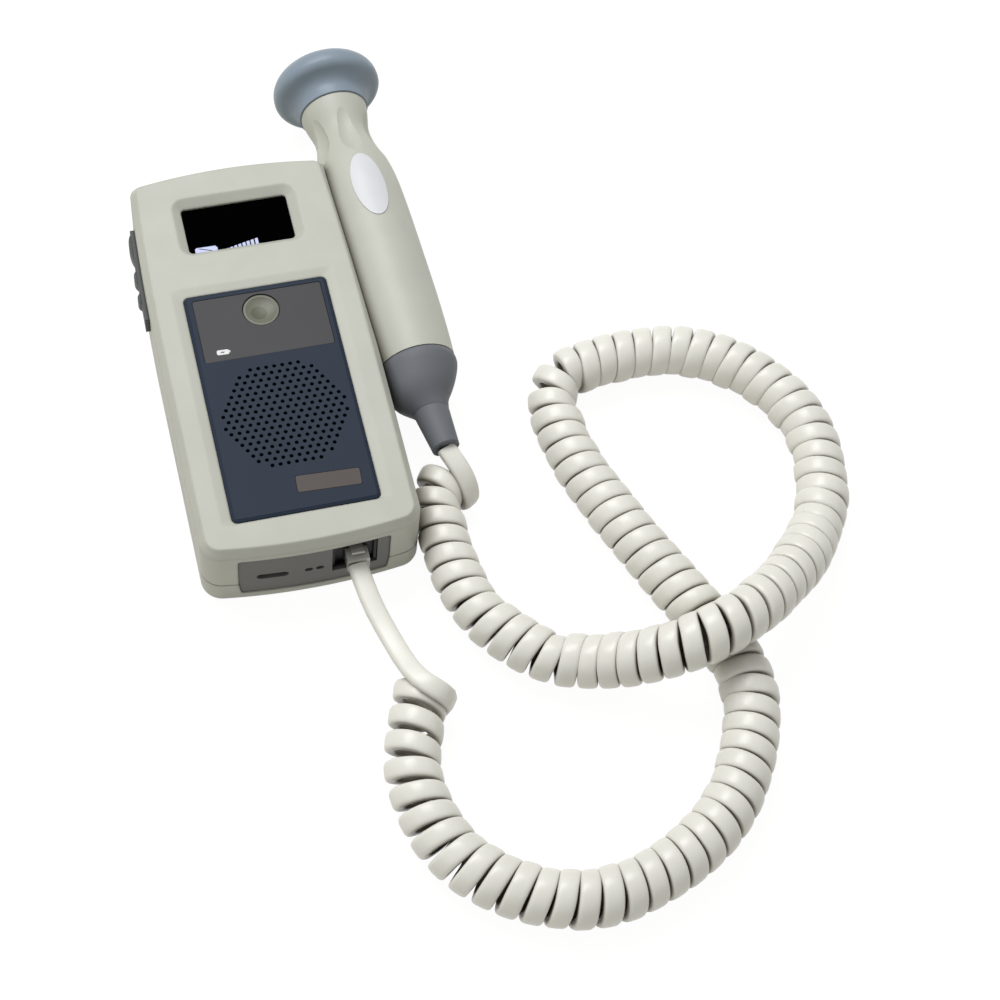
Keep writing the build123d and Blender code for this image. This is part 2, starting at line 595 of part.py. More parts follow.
def wall_at(y):
    """Half width of the housing's side at a place along its length."""
    drop = HALF_WIDTH - DISPLAY_END_HALF_WIDTH
    rise = HALF_LENGTH - END_BOW - TAPER_START
    radius = (rise ** 2 + drop ** 2) / (2 * drop)
    return HALF_WIDTH - radius + (radius ** 2 - max(y - TAPER_START, 0) ** 2) ** 0.5


def port_prism(grow):
    """Prism through the port end on the outline of the port panel."""
    side, low_side = PORT_HALF_WIDTH + grow, PORT_LOW_HALF_WIDTH + grow
    top, bottom = PORT_TOP + grow, PORT_BOTTOM - grow
    corners = [(-side, top), (side, top), (side, PARTING_HEIGHT), (low_side, bottom), (-low_side, bottom),
               (-side, PARTING_HEIGHT)]
    outline = make_face(Polyline(*corners, close=True))
    outline = Plane.XZ * fillet(outline.vertices(), PORT_RADIUS + grow)
    return Pos(0, PORT_CUT_END, 0) * extrude(outline, HALF_LENGTH)


def key_block(centre, length, grow, x_low, x_high):
    """Block through the left wall on the outline of one side key."""
    half, tall = length / 2 + grow, KEY_HEIGHT / 2 + grow
    return block(x_low, x_high, centre - half, centre + half, KEYPAD_MIDDLE - tall, KEYPAD_MIDDLE + tall)


def key_holes():
    return [key_block(centre, length, SLIDE_GAP, -2 * HALF_WIDTH, MAIN_BOARD_LEFT)
            for centre, length in KEYS.values()]


def board_posts():
    """Places of the four posts that carry the main board."""
    return [(x, y) for x in (MAIN_BOARD_LEFT + POST_INSET, MAIN_BOARD_RIGHT - POST_INSET)
            for y in (MAIN_BOARD_LOW + POST_INSET, MAIN_BOARD_HIGH - POST_INSET)]


def panel_recess():
    """Seat of the speaker panel with a shallow sloped frame that is widest at the display end."""
    floor = HEIGHT - RECESS_DEPTH
    rim_size = (PANEL_SIZE[0] + 2 * RECESS_SLOPE, PANEL_SIZE[1] + RECESS_SLOPE + RECESS_LOW_SLOPE)
    rim_centre = (0, PANEL_CENTRE[1] + (RECESS_SLOPE - RECESS_LOW_SLOPE) / 2)
    seat_size = grown(PANEL_SIZE, FIT_GAP)
    frame = funnel((PANEL_CENTRE, seat_size, PANEL_RADIUS), (rim_centre, rim_size, PANEL_RADIUS),
                   floor, HEIGHT)
    return frame + tablet(PANEL_CENTRE, seat_size, PANEL_RADIUS, PANEL_SEAT, floor)


def make_front_shell():
    """Front moulding with the sloped frames of the display and of the speaker panel."""
    solid = HOUSING & block(-HALF_WIDTH, HALF_WIDTH, -HALF_LENGTH, HALF_LENGTH, PARTING_HEIGHT, HEIGHT)
    solid -= BAY
    solid -= prism(WALL, PARTING_HEIGHT, ROOF) - BAY_LINING
    for x, y in CASE_SCREWS:
        solid += rod(x, y, PARTING_HEIGHT, ROOF, BOSS_RADIUS)
        solid -= rod(x, y, PARTING_HEIGHT, PARTING_HEIGHT + CASE_SCREW_REACH + REST_GAP,
                     SCREW_SHANK_RADIUS + BORE_GAP)
    for x, y in board_posts():
        solid += rod(x, y, MAIN_BOARD_TOP, ROOF, POST_RADIUS)
        solid -= rod(x, y, MAIN_BOARD_TOP, MAIN_BOARD_TOP + BOARD_SCREW_REACH + REST_GAP,
                     SCREW_SHANK_RADIUS + BORE_GAP)
    ring_inside = SPEAKER_RADIUS + SLIDE_GAP
    solid += (rod(*SPEAKER_CENTRE, ROOF - SPEAKER_RING_HEIGHT, ROOF, ring_inside + TUB_WALL)
              - rod(*SPEAKER_CENTRE, ROOF - SPEAKER_RING_HEIGHT, ROOF, ring_inside))
    solid += tablet(WINDOW_CENTRE, grown(WINDOW_SIZE, WINDOW_MARGIN + TUB_WALL), WINDOW_RADIUS,
                    WINDOW_BACK, ROOF)
    solid -= tablet(WINDOW_CENTRE, grown(WINDOW_SIZE, WINDOW_MARGIN), WINDOW_RADIUS, WINDOW_BACK, WINDOW_TOP)
    solid -= tablet(WINDOW_CENTRE, WINDOW_SIZE, WINDOW_RADIUS, WINDOW_TOP, BEZEL_FLOOR)
    solid -= funnel((WINDOW_CENTRE, WINDOW_SIZE, WINDOW_RADIUS), (BEZEL_CENTRE, BEZEL_SIZE, BEZEL_RADIUS),
                    BEZEL_FLOOR, HEIGHT)
    solid -= panel_recess()
    solid -= rod(*SPEAKER_CENTRE, ROOF, PANEL_SEAT, SPEAKER_RADIUS - SPEAKER_FLANGE)
    solid -= rod(*BUTTON_CENTRE, ROOF, PANEL_SEAT, BUTTON_HOLE_RADIUS)
    return solid - key_holes() - port_prism(FIT_GAP)


def make_rear_shell():
    """Rear moulding with the battery compartment, screw bosses and the seam groove."""
    solid = HOUSING & block(-HALF_WIDTH, HALF_WIDTH, -HALF_LENGTH, HALF_LENGTH, 0, PARTING_HEIGHT)
    solid -= BAY
    solid -= prism(WALL, WALL, PARTING_HEIGHT) - BAY_LINING
    ledge_half = DOOR_HALF_WIDTH + WALL
    inner_end = HALF_LENGTH - WALL - END_BOW / 2
    solid += block(-ledge_half, ledge_half, -inner_end, DOOR_HIGH + WALL, WALL, LEDGE_TOP)
    tub_outside = TUB_HALF_WIDTH + TUB_WALL
    solid += block(-tub_outside, tub_outside, TUB_LOW - TUB_WALL, TUB_HIGH + TUB_WALL,
                   WALL, TUB_ROOF + TUB_WALL)
    for x, y in CASE_SCREWS:
        solid += rod(x, y, WALL, BOSS_ROOT_TOP, BOSS_ROOT_RADIUS)
        solid += rod(x, y, WALL, PARTING_HEIGHT, BOSS_RADIUS)
        solid -= rod(x, y, 0, CASE_SCREW_RECESS, SCREW_HEAD_RADIUS + SLIDE_GAP)
        solid -= rod(x, y, 0, PARTING_HEIGHT, SCREW_SHANK_RADIUS + SLIDE_GAP)
    for x in (-PORT_POST_X, PORT_POST_X):
        solid += rod(x, PORT_POST_Y, WALL, PORT_BOARD_TOP - PORT_BOARD_THICKNESS, POST_RADIUS)
    solid -= block(-TUB_HALF_WIDTH, TUB_HALF_WIDTH, TUB_LOW, TUB_HIGH, 0, TUB_ROOF)
    pocket_half = DOOR_HALF_WIDTH + SLIDE_GAP
    solid -= block(-pocket_half, pocket_half, -HALF_LENGTH, DOOR_HIGH + SLIDE_GAP, 0,
                   DOOR_LIFT + DOOR_THICKNESS + SLIDE_GAP)
    for x in HOOKS:
        solid -= block(x - HOOK_WIDTH / 2 - REST_GAP, x + HOOK_WIDTH / 2 + REST_GAP, TUB_HIGH,
                       TUB_HIGH + TUB_WALL, LEDGE_TOP, LEDGE_TOP + HOOK_THICKNESS + 2 * REST_GAP)
    seam_floor = PARTING_HEIGHT - SEAM_WIDTH
    solid -= (prism(-SEAM_DEPTH, seam_floor, PARTING_HEIGHT) - prism(SEAM_DEPTH, seam_floor, PARTING_HEIGHT)
              - BAY_LINING)
    return solid - port_prism(FIT_GAP)


def make_battery_door():
    """Sliding door whose hooks reach over the ledge of the battery compartment."""
    top = DOOR_LIFT + DOOR_THICKNESS
    solid = HOUSING & block(-DOOR_HALF_WIDTH, DOOR_HALF_WIDTH, -HALF_LENGTH, DOOR_HIGH, DOOR_LIFT, top)
    hook_low = LEDGE_TOP + REST_GAP
    for x in HOOKS:
        left, right = x - HOOK_WIDTH / 2, x + HOOK_WIDTH / 2
        solid += block(left, right, TUB_HIGH - HOOK_REACH, TUB_HIGH - REST_GAP,
                       top, hook_low + HOOK_THICKNESS)
        solid += block(left, right, TUB_HIGH - REST_GAP, TUB_HIGH + HOOK_REACH,
                       hook_low, hook_low + HOOK_THICKNESS)
    for number in range(DOOR_GRIP_COUNT):
        y = DOOR_GRIP_LOW + number * DOOR_GRIP_PITCH
        solid -= block(-DOOR_GRIP_HALF_WIDTH, DOOR_GRIP_HALF_WIDTH, y, y + DOOR_GRIP_PITCH / 2, DOOR_LIFT,
                       DOOR_LIFT + DOOR_GRIP_DEPTH)
    return solid


def make_speaker_panel():
    """Navy panel with a bevelled edge, the grille, and pockets for the label and badge."""
    solid = tablet(PANEL_CENTRE, PANEL_SIZE, PANEL_RADIUS, PANEL_SEAT, HEIGHT)
    front = solid.faces().sort_by(Axis.Z)[-1]
    solid = chamfer(front.edges(), PANEL_BEVEL_DROP, PANEL_BEVEL_WIDTH, reference=front)
    solid -= tablet(LABEL_CENTRE, LABEL_SIZE, LABEL_RADIUS, HEIGHT - LABEL_POCKET, HEIGHT)
    solid -= rod(*BUTTON_CENTRE, PANEL_SEAT, HEIGHT, BUTTON_HOLE_RADIUS)
    solid -= badge(FIT_GAP, HEIGHT)
    return solid - grille_holes()


def clear_of_edges(x, y):
    """Whether a sound hole keeps clear of the panel's sides, the label and the badge."""
    return (abs(x) < PANEL_HALF_WIDTH - GRILLE_MARGIN
            and BADGE_HIGH + GRILLE_MARGIN < y < LABEL_LOW - GRILLE_MARGIN)


def grille_holes():
    """Hexagonal field of sound holes, row by row."""
    holes = []
    middle = (len(GRILLE_ROWS) - 1) / 2
    for row, count in enumerate(GRILLE_ROWS):
        y = SPEAKER_CENTRE[1] + (row - middle) * GRILLE_PITCH * sin(radians(60))
        for number in range(count):
            x = SPEAKER_CENTRE[0] + (number - (count - 1) / 2) * GRILLE_PITCH
            if clear_of_edges(x, y):
                holes.append(Pos(x, y) * RegularPolygon(GRILLE_HOLE / 2, GRILLE_HOLE_SIDES))
    return Pos(0, 0, PANEL_SEAT) * extrude(Sketch() + holes, PANEL_THICKNESS)


def badge(grow, top):
    turn = Pos(*BADGE_CENTRE, HEIGHT - BADGE_THICKNESS) * Rot(0, 0, BADGE_TURN)
    outline = RectangleRounded(*grown(BADGE_SIZE, grow), BADGE_RADIUS)
    return turn * extrude(outline, top - HEIGHT + BADGE_THICKNESS)


def make_label_plate():
    low = HEIGHT - LABEL_POCKET
    size = grown(LABEL_SIZE, -FIT_GAP)
    plate = tablet(LABEL_CENTRE, size, LABEL_RADIUS - FIT_GAP, low, low + LABEL_THICKNESS)
    return plate - rod(*BUTTON_CENTRE, low, HEIGHT, BUTTON_HOLE_RADIUS)


def make_badge_plate():
    return badge(0, HEIGHT)


def make_display_window():
    size = grown(WINDOW_SIZE, WINDOW_MARGIN - FIT_GAP)
    return tablet(WINDOW_CENTRE, size, WINDOW_RADIUS, WINDOW_BACK, WINDOW_TOP)


def make_display_module():
    """Liquid crystal module on four legs that stand on the main board."""
    size = grown(WINDOW_SIZE, MODULE_MARGIN)
    floor = WINDOW_BACK - MODULE_THICKNESS
    solid = tablet(WINDOW_CENTRE, size, FIT_GAP, floor, WINDOW_BACK)
    for side in (-1, 1):
        for end in (-1, 1):
            x = WINDOW_CENTRE[0] + side * (size[0] / 2 - MODULE_LEG)
            y = WINDOW_CENTRE[1] + end * (size[1] / 2 - MODULE_LEG)
            solid += rod(x, y, MAIN_BOARD_TOP, floor, MODULE_LEG / 2)
    return solid


def make_main_board():
    low = MAIN_BOARD_TOP - BOARD_THICKNESS
    solid = block(MAIN_BOARD_LEFT, MAIN_BOARD_RIGHT, MAIN_BOARD_LOW, MAIN_BOARD_HIGH, low, MAIN_BOARD_TOP)
    for x, y in board_posts():
        solid -= rod(x, y, low, MAIN_BOARD_TOP, SCREW_SHANK_RADIUS + SLIDE_GAP)
    return solid


def make_board_screws():
    low = MAIN_BOARD_TOP - BOARD_THICKNESS
    tip = MAIN_BOARD_TOP + BOARD_SCREW_REACH
    return [rod(x, y, low - SCREW_HEAD_HEIGHT, low, SCREW_HEAD_RADIUS)
            + rod(x, y, low, tip, SCREW_SHANK_RADIUS) for x, y in board_posts()]


def make_case_screws():
    seat = CASE_SCREW_RECESS
    return [rod(x, y, seat - SCREW_HEAD_HEIGHT, seat, SCREW_HEAD_RADIUS)
            + rod(x, y, seat, PARTING_HEIGHT + CASE_SCREW_REACH, SCREW_SHANK_RADIUS) for x, y in CASE_SCREWS]


def make_side_board():
    ends = [centre + side * length / 2 for centre, length in KEYS.values() for side in (-1, 1)]
    return block(MAIN_BOARD_LEFT - SIDE_BOARD_THICKNESS, MAIN_BOARD_LEFT, min(ends), max(ends),
                 KEYPAD_MIDDLE - SIDE_BOARD_HALF_HEIGHT, KEYPAD_MIDDLE + SIDE_BOARD_HALF_HEIGHT)


def make_side_switches():
    """One switch behind each side key, bored for the key's stem."""
    back = MAIN_BOARD_LEFT - SIDE_BOARD_THICKNESS
    switches = []
    for centre, _ in KEYS.values():
        body = block(SIDE_SWITCH_FACE, back, centre - SIDE_SWITCH_HALF, centre + SIDE_SWITCH_HALF,
                     KEYPAD_MIDDLE - SIDE_SWITCH_HALF, KEYPAD_MIDDLE + SIDE_SWITCH_HALF)
        bore_end = SIDE_STEM_END + KEY_TRAVEL + REST_GAP
        bore = Pos((SIDE_SWITCH_FACE + bore_end) / 2, centre, KEYPAD_MIDDLE) * Rot(0, 90, 0)
        switches.append(body - bore * Cylinder(STEM_RADIUS + SLIDE_GAP, bore_end - SIDE_SWITCH_FACE))
    return switches


def make_side_key(centre, length):
    """Rounded key with a flange behind the wall and a stem into its switch."""
    wall = -wall_at(centre)
    crown = Pos(wall - KEYPAD_PROUD / 2, centre) * Ellipse(KEY_PROUD - KEYPAD_PROUD / 2, length / 2)
    crown = Pos(0, 0, KEYPAD_MIDDLE - KEY_HEIGHT / 2) * extrude(crown, KEY_HEIGHT)
    crown -= block(wall - KEYPAD_PROUD / 2, 0, centre - length, centre + length, 0, HEIGHT)
    flange = WALL + REST_GAP - wall_at(centre + length / 2 + KEY_FLANGE)
    solid = crown + key_block(centre, length, 0, wall - KEYPAD_PROUD / 2, flange)
    solid += key_block(centre, length, KEY_FLANGE, flange, flange + KEY_FLANGE)
    stem = Pos((flange + SIDE_STEM_END) / 2, centre, KEYPAD_MIDDLE) * Rot(0, 90, 0)
    return solid + stem * Cylinder(STEM_RADIUS, SIDE_STEM_END - flange)


def make_keypad_base():
    """Rubber strip on the left wall, with a hole for each key."""
    strip = prism(-KEYPAD_PROUD, KEYPAD_BOTTOM, KEYPAD_TOP) - prism(0, KEYPAD_BOTTOM, KEYPAD_TOP)
    strip &= block(-2 * HALF_WIDTH, 0, KEYPAD_LOW, KEYPAD_HIGH, KEYPAD_BOTTOM, KEYPAD_TOP)
    return strip - key_holes()


def make_front_button():
    """Dished button with a flange under the shell and a stem into its switch."""
    x, y = BUTTON_CENTRE
    flange_top = ROOF - REST_GAP
    top = HEIGHT - BUTTON_RECESS
    solid = rod(x, y, flange_top, top, BUTTON_RADIUS)
    solid += rod(x, y, flange_top - BUTTON_FLANGE_THICKNESS, flange_top,
                 BUTTON_HOLE_RADIUS + BUTTON_FLANGE)
    solid += rod(x, y, BUTTON_STEM_END, flange_top - BUTTON_FLANGE_THICKNESS, STEM_RADIUS)
    dish_radius = ((BUTTON_RADIUS - BUTTON_EDGE) ** 2 + BUTTON_DISH_DEPTH ** 2) / (2 * BUTTON_DISH_DEPTH)
    solid -= Pos(x, y, top + dish_radius - BUTTON_DISH_DEPTH) * Sphere(dish_radius)
    return solid


def make_front_switch():
    x, y = BUTTON_CENTRE
    half, top = SWITCH_SIZE / 2, MAIN_BOARD_TOP + SWITCH_HEIGHT
    body = block(x - half, x + half, y - half, y + half, MAIN_BOARD_TOP, top)
    return body - rod(x, y, top - SWITCH_BORE_DEPTH, top, STEM_RADIUS + SLIDE_GAP)


def make_speaker_driver():
    """Speaker basket and magnet as one turned piece."""
    depth, lip = SPEAKER_DEPTH, SPEAKER_FLANGE
    rim, inside = SPEAKER_RADIUS, SPEAKER_RADIUS - SPEAKER_FLANGE - FIT_GAP
    outline = [(0, 0), (MAGNET_RADIUS, 0), (MAGNET_RADIUS, MAGNET_HEIGHT), (rim, depth - lip), (rim, depth),
               (inside, depth), (inside, depth - lip), (MAGNET_RADIUS, MAGNET_HEIGHT + lip),
               (0, MAGNET_HEIGHT + lip)]
    profile = Plane.XZ * make_face(Polyline(*outline, close=True))
    return Pos(*SPEAKER_CENTRE, ROOF - depth) * revolve(profile, Axis.Z)


def make_speaker_cone():
    """Paper cone with its round dust cap."""
    outside = SPEAKER_RADIUS - SPEAKER_FLANGE - SLIDE_GAP
    floor = MAGNET_HEIGHT + SPEAKER_FLANGE + SLIDE_GAP
    rise = SPEAKER_DEPTH - SPEAKER_FLANGE + SLIDE_GAP - floor
    wall = CONE_THICKNESS
    outline = [(0, 0), (CONE_CAP_RADIUS, 0), (outside, rise), (outside, rise + wall),
               (outside - wall, rise + wall), (CONE_CAP_RADIUS, wall), (0, 2 * wall)]
    profile = Plane.XZ * make_face(Polyline(*outline, close=True))
    return Pos(*SPEAKER_CENTRE, ROOF - SPEAKER_DEPTH + floor) * revolve(profile, Axis.Z)


def make_battery_cells():
    """Two cells side by side that face opposite ways."""
    cells = []
    for side in (-1, 1):
        nub_end = (TUB_HIGH - CONTACT_PLATE) if side < 0 else (TUB_LOW + CONTACT_PLATE)
        middle = nub_end + side * (CELL_NUB_LENGTH + CELL_LENGTH / 2)
        place = Pos(side * CELL_SPACING / 2, 0, CELL_HEIGHT)
        body = Pos(0, middle, 0) * Rot(90, 0, 0) * Cylinder(CELL_RADIUS, CELL_LENGTH)
        nub = Rot(90, 0, 0) * Cylinder(CELL_NUB_RADIUS, CELL_NUB_LENGTH)
        cells.append(place * (body + Pos(0, nub_end + side * CELL_NUB_LENGTH / 2, 0) * nub))
    return cells


def make_battery_contacts():
    """Four contact plates, two of them with a conical spring that presses a cell."""
    pieces = []
    for side in (-1, 1):
        for end in (-1, 1):
            wall = TUB_HIGH if end > 0 else TUB_LOW
            inner = wall - end * CONTACT_PLATE
            x = side * CELL_SPACING / 2
            plate = block(x - CONTACT_HALF_WIDTH, x + CONTACT_HALF_WIDTH, min(wall, inner), max(wall, inner),
                          CELL_HEIGHT - CONTACT_HALF_HEIGHT, CELL_HEIGHT + CONTACT_HALF_HEIGHT)
            if side == end:
                middle = inner - end * SPRING_LENGTH / 2
                cone = Cone(CONTACT_HALF_HEIGHT, CELL_NUB_RADIUS, SPRING_LENGTH)
                plate += Pos(x, middle, CELL_HEIGHT) * Rot(90 * end, 0, 0) * cone
            pieces.append(plate)
    return pieces


# ---------------------------------------------------------------- port end
def make_port_panel():
    """Dark plate that follows the bowed end and holds the jack, slot and lanyard eyes."""
    low, high = PORT_BOTTOM - WALL, PORT_TOP + WALL
    solid = (prism(PORT_SETBACK, low, high) - prism(WALL, low, high)) & port_prism(0)
    solid -= block(JACK_LEFT, JACK_RIGHT, -HALF_LENGTH, PORT_CUT_END, JACK_BOTTOM, JACK_TOP)
    solid -= end_slot(SLOT_CENTRE, SLOT_SIZE)
    return solid - [end_slot((x, EYE_HEIGHT), EYE_SIZE) for x in EYES]


def end_slot(centre, size):
    """Round-ended slot through the port end."""
    outline = Plane.XZ * (Pos(*centre) * SlotOverall(*size))
    return Pos(0, PORT_CUT_END, 0) * extrude(outline, HALF_LENGTH)


def make_modular_jack():
    """Square jack with a stepped mouth, a cavity for the plug and a slot for its latch."""
    face = JACK_FACE
    solid = block(JACK_LEFT + FIT_GAP, JACK_RIGHT - FIT_GAP, face, JACK_BACK, JACK_BOTTOM,
                  JACK_TOP - FIT_GAP)
    solid -= block(JACK_LEFT + JACK_LIP, JACK_RIGHT - JACK_LIP, face, face + JACK_LIP,
                   JACK_BOTTOM + JACK_LIP, JACK_TOP - JACK_LIP)
    cavity_end = JACK_BACK - WALL
    half = PLUG_WIDTH / 2 + REST_GAP
    plug_top = PLUG_BOTTOM + PLUG_HEIGHT + REST_GAP
    solid -= block(PLUG_CENTRE_X - half, PLUG_CENTRE_X + half, face, cavity_end,
                   PLUG_BOTTOM - REST_GAP, plug_top)
    half = LATCH_WIDTH / 2 + REST_GAP
    return solid - block(PLUG_CENTRE_X - half, PLUG_CENTRE_X + half, face, cavity_end, plug_top,
                         plug_top + LATCH_SLOT_HEIGHT)


def contact_places():
    first = PLUG_CENTRE_X - PLUG_CONTACT_PITCH * (PLUG_CONTACT_COUNT - 1) / 2
    return [first + number * PLUG_CONTACT_PITCH for number in range(PLUG_CONTACT_COUNT)]


def make_jack_contacts():
    """Spring wires at the back of the jack, one for each blade of the plug."""
    back = JACK_BACK - WALL
    half = PLUG_CONTACT_THICKNESS / 2
    return [block(x - half, x + half, back - PLUG_CONTACT_THICKNESS, back, PLUG_BOTTOM,
                  PLUG_BOTTOM + JACK_WIRE_HEIGHT) for x in contact_places()]


def make_plug_body():
    """Clear plug with slots for its blades."""
    half = PLUG_WIDTH / 2
    solid = block(PLUG_CENTRE_X - half, PLUG_CENTRE_X + half, PLUG_REAR, PLUG_FRONT,
                  PLUG_BOTTOM, PLUG_BOTTOM + PLUG_HEIGHT)
    slot = PLUG_CONTACT_THICKNESS / 2 + FIT_GAP
    for x in contact_places():
        solid -= block(x - slot, x + slot, PLUG_FRONT - BLADE_LENGTH - FIT_GAP, PLUG_FRONT, PLUG_BOTTOM,
                       PLUG_BOTTOM + BLADE_HEIGHT + FIT_GAP)
    return solid


def make_plug_contacts():
    half = PLUG_CONTACT_THICKNESS / 2
    return [block(x - half, x + half, PLUG_FRONT - BLADE_LENGTH, PLUG_FRONT - FIT_GAP, PLUG_BOTTOM,
                  PLUG_BOTTOM + BLADE_HEIGHT) for x in contact_places()]


def make_plug_latch():
    """Springy lever that rises from the front of the plug toward its rear."""
    lever = Pos(0, -LATCH_LENGTH / 2, 0) * Box(LATCH_WIDTH, LATCH_LENGTH, LATCH_THICKNESS)
    root = Rot(0, 90, 0) * Cylinder(LATCH_THICKNESS / 2, LATCH_WIDTH)
    return Pos(*LATCH_PIVOT) * Rot(-LATCH_RISE_ANGLE, 0, 0) * (lever + root)


def make_data_port():
    x, z = SLOT_CENTRE
    width, height = grown(SLOT_SIZE, WALL / 2)
    solid = block(x - width / 2, x + width / 2, DATA_PORT_FACE, DATA_PORT_FACE + DATA_PORT_DEPTH,
                  PORT_BOARD_TOP, z + height / 2)
    return solid - block(x - SLOT_SIZE[0] / 2, x + SLOT_SIZE[0] / 2, DATA_PORT_FACE,
                         DATA_PORT_FACE + DATA_PORT_DEPTH / 2, z - SLOT_SIZE[1] / 2, z + SLOT_SIZE[1] / 2)


def make_port_board():
    return block(-PORT_BOARD_HALF_WIDTH, PORT_BOARD_HALF_WIDTH, PORT_BOARD_FRONT, JACK_BACK,
                 PORT_BOARD_TOP - PORT_BOARD_THICKNESS, PORT_BOARD_TOP)


# ---------------------------------------------------------------- cord
def make_cord(name, route, diameter):
    """Tube along straight runs joined by arcs as large as the runs allow."""
    points = [Vector(*point) for point in route]
    radii = []
    for before, here, after in zip(points, points[1:], points[2:]):
        turn = radians((here - before).get_angle(after - here))
        shorter = min((here - before).length, (after - here).length)
        radii.append(ARC_SHARE * shorter / tan(turn / 2))
    path = FilletPolyline(*points, radius=radii)
    section = Plane(origin=path @ 0, z_dir=path % 0) * Circle(diameter / 2)
    tube = sweep(section, path=path)
    share = tube.volume / (path.length * pi * diameter ** 2 / 4)
    print(name, "length", round(path.length, 1), "volume over section times length", round(share, 4))
    print(name, "radii", [round(radius, 1) for radius in radii])
    return tube


# ---------------------------------------------------------------- the whole part
def make_nodes():
    nodes = {
        "front_shell": make_front_shell(),
        "rear_shell": make_rear_shell(),
        "battery_door": make_battery_door(),
        "probe_cradle": make_probe_cradle(),
        "speaker_panel": make_speaker_panel(),
        "label_plate": make_label_plate(),
        "badge_plate": make_badge_plate(),
        "display_window": make_display_window(),
        "display_module": make_display_module(),
        "main_board": make_main_board(),
        "board_screws": make_board_screws(),
        "case_screws": make_case_screws(),
        "side_board": make_side_board(),
        "side_switches": make_side_switches(),
        "keypad_base": make_keypad_base(),
        "front_button": make_front_button(),
        "front_switch": make_front_switch(),
        "speaker_driver": make_speaker_driver(),
        "speaker_cone": make_speaker_cone(),
        "battery_cells": make_battery_cells(),
        "battery_contacts": make_battery_contacts(),
        "port_panel": make_port_panel(),
        "modular_jack": make_modular_jack(),
        "jack_contacts": make_jack_contacts(),
        "data_port": make_data_port(),
        "port_board": make_port_board(),
        "plug_body": make_plug_body(),
        "plug_contacts": make_plug_contacts(),
        "plug_latch": make_plug_latch(),
        "probe_body": make_probe_body(),
        "probe_head": make_probe_head(),
        "probe_face": make_probe_face(),
        "probe_crystals": make_probe_crystals(),
        "probe_backing": make_probe_backing(),
        "probe_board": make_probe_board(),
        "probe_boot": make_probe_boot(),
        "probe_label": make_probe_label(),
        "plug_lead": make_cord("plug_lead", PLUG_LEAD_ROUTE, CORD_DIAMETER),
        "curly_cord": make_cord("curly_cord", COIL_ROUTE, COIL_DIAMETER),
        "probe_lead": make_cord("probe_lead", PROBE_LEAD_ROUTE, CORD_DIAMETER),
    }
    for name, (centre, length) in KEYS.items():
        nodes[name] = make_side_key(centre, length)
    return nodes


os.makedirs("parts", exist_ok=True)
for node, shape in make_nodes().items():
    pieces = shape if isinstance(shape, list) else [shape]
    solids = [solid for piece in pieces for solid in piece.solids()]
    export_step(Compound(children=solids) if len(solids) > 1 else solids[0], f"parts/{node}.step")
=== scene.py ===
"""Looks of the fetal doppler monitor: the camera, the curly cord, finishes and fine detail.

The scene is in metres and in the CAD part's frame. X is across the housing, +Y points to the
display end and +Z out of the front face. The monitor lies on its back on the plane z = 0.
Sizes and places named below are in mm, but the camera, the lamps, the floor and whatever is
multiplied by MM are in metres.
"""
import json
import math
import random

import bmesh
import bpy
import numpy as np
from mathutils import Matrix, Vector


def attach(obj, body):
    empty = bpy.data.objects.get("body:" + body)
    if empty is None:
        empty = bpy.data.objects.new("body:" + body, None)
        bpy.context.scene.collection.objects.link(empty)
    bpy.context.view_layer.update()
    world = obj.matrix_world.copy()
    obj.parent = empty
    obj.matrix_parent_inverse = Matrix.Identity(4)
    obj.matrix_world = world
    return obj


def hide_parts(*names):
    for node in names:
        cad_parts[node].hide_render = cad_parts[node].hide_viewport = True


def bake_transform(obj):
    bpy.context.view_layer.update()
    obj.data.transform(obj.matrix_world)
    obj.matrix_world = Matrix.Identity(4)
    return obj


MM = 0.001
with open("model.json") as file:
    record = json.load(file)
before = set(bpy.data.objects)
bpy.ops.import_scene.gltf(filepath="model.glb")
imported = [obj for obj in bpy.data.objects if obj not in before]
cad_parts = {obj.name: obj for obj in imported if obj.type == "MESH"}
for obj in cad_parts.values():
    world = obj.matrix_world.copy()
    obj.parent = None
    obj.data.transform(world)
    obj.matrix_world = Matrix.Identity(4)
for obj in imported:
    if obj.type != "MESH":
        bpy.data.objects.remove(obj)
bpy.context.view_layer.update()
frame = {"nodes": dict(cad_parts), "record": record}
SEED = 7
random.seed(SEED)

# ---------------------------------------------------------------- camera
CAMERA_PLACE = (-0.08391, -0.45011, 0.73712)
CAMERA_RIGHT = (0.96759, -0.24135, 0.07430)
CAMERA_UP = (0.17516, 0.85338, 0.49098)
CAMERA_BACK = (-0.18191, -0.46206, 0.86799)
LENS = 87.93
SENSOR = 36.0
CAMERA_SHIFT = (-0.0018, 0.0008)

# ---------------------------------------------------------------- light and floor
LAMP_TARGET = (0.05, -0.05, 0)
# Name, place, size and power of each lamp
LAMPS = [("key", (-0.15, 0.55, 1.1), (0.9, 0.6), 11.0), ("fill", (-0.9, -0.5, 0.8), (0.8, 0.8), 1.0)]
WHITE = (1, 1, 1, 1)
SKY = 0.46
SEEN_SKY = 1.0
FLOOR_REACH = 6.0
FLOOR_COLOUR = (0.66, 0.64, 0.56, 1)
FLOOR_GLOW = 0.85
FLOOR_GLOW_STRENGTH = 1.12

# ---------------------------------------------------------------- surfaces
# Painted shade: nooks get a darker, warmer colour painted where shade falls in them; how far that painted
# shade reaches, in mm, its tint and the openness where it ends
PAINTED_SHADE_REACH = 5.0
CORD_PAINTED_SHADE_REACH = 14.0
PROBE_PAINTED_SHADE_REACH = 10.0
HOUSING_PAINTED_SHADE_REACH = 3.0
PAINTED_SHADE_TINT = (0.2, 0.17, 0.12)
PAINTED_SHADE_END = 0.85
PAINTED_SHADE_SAMPLES = 8
EDGE_SAMPLES = 6
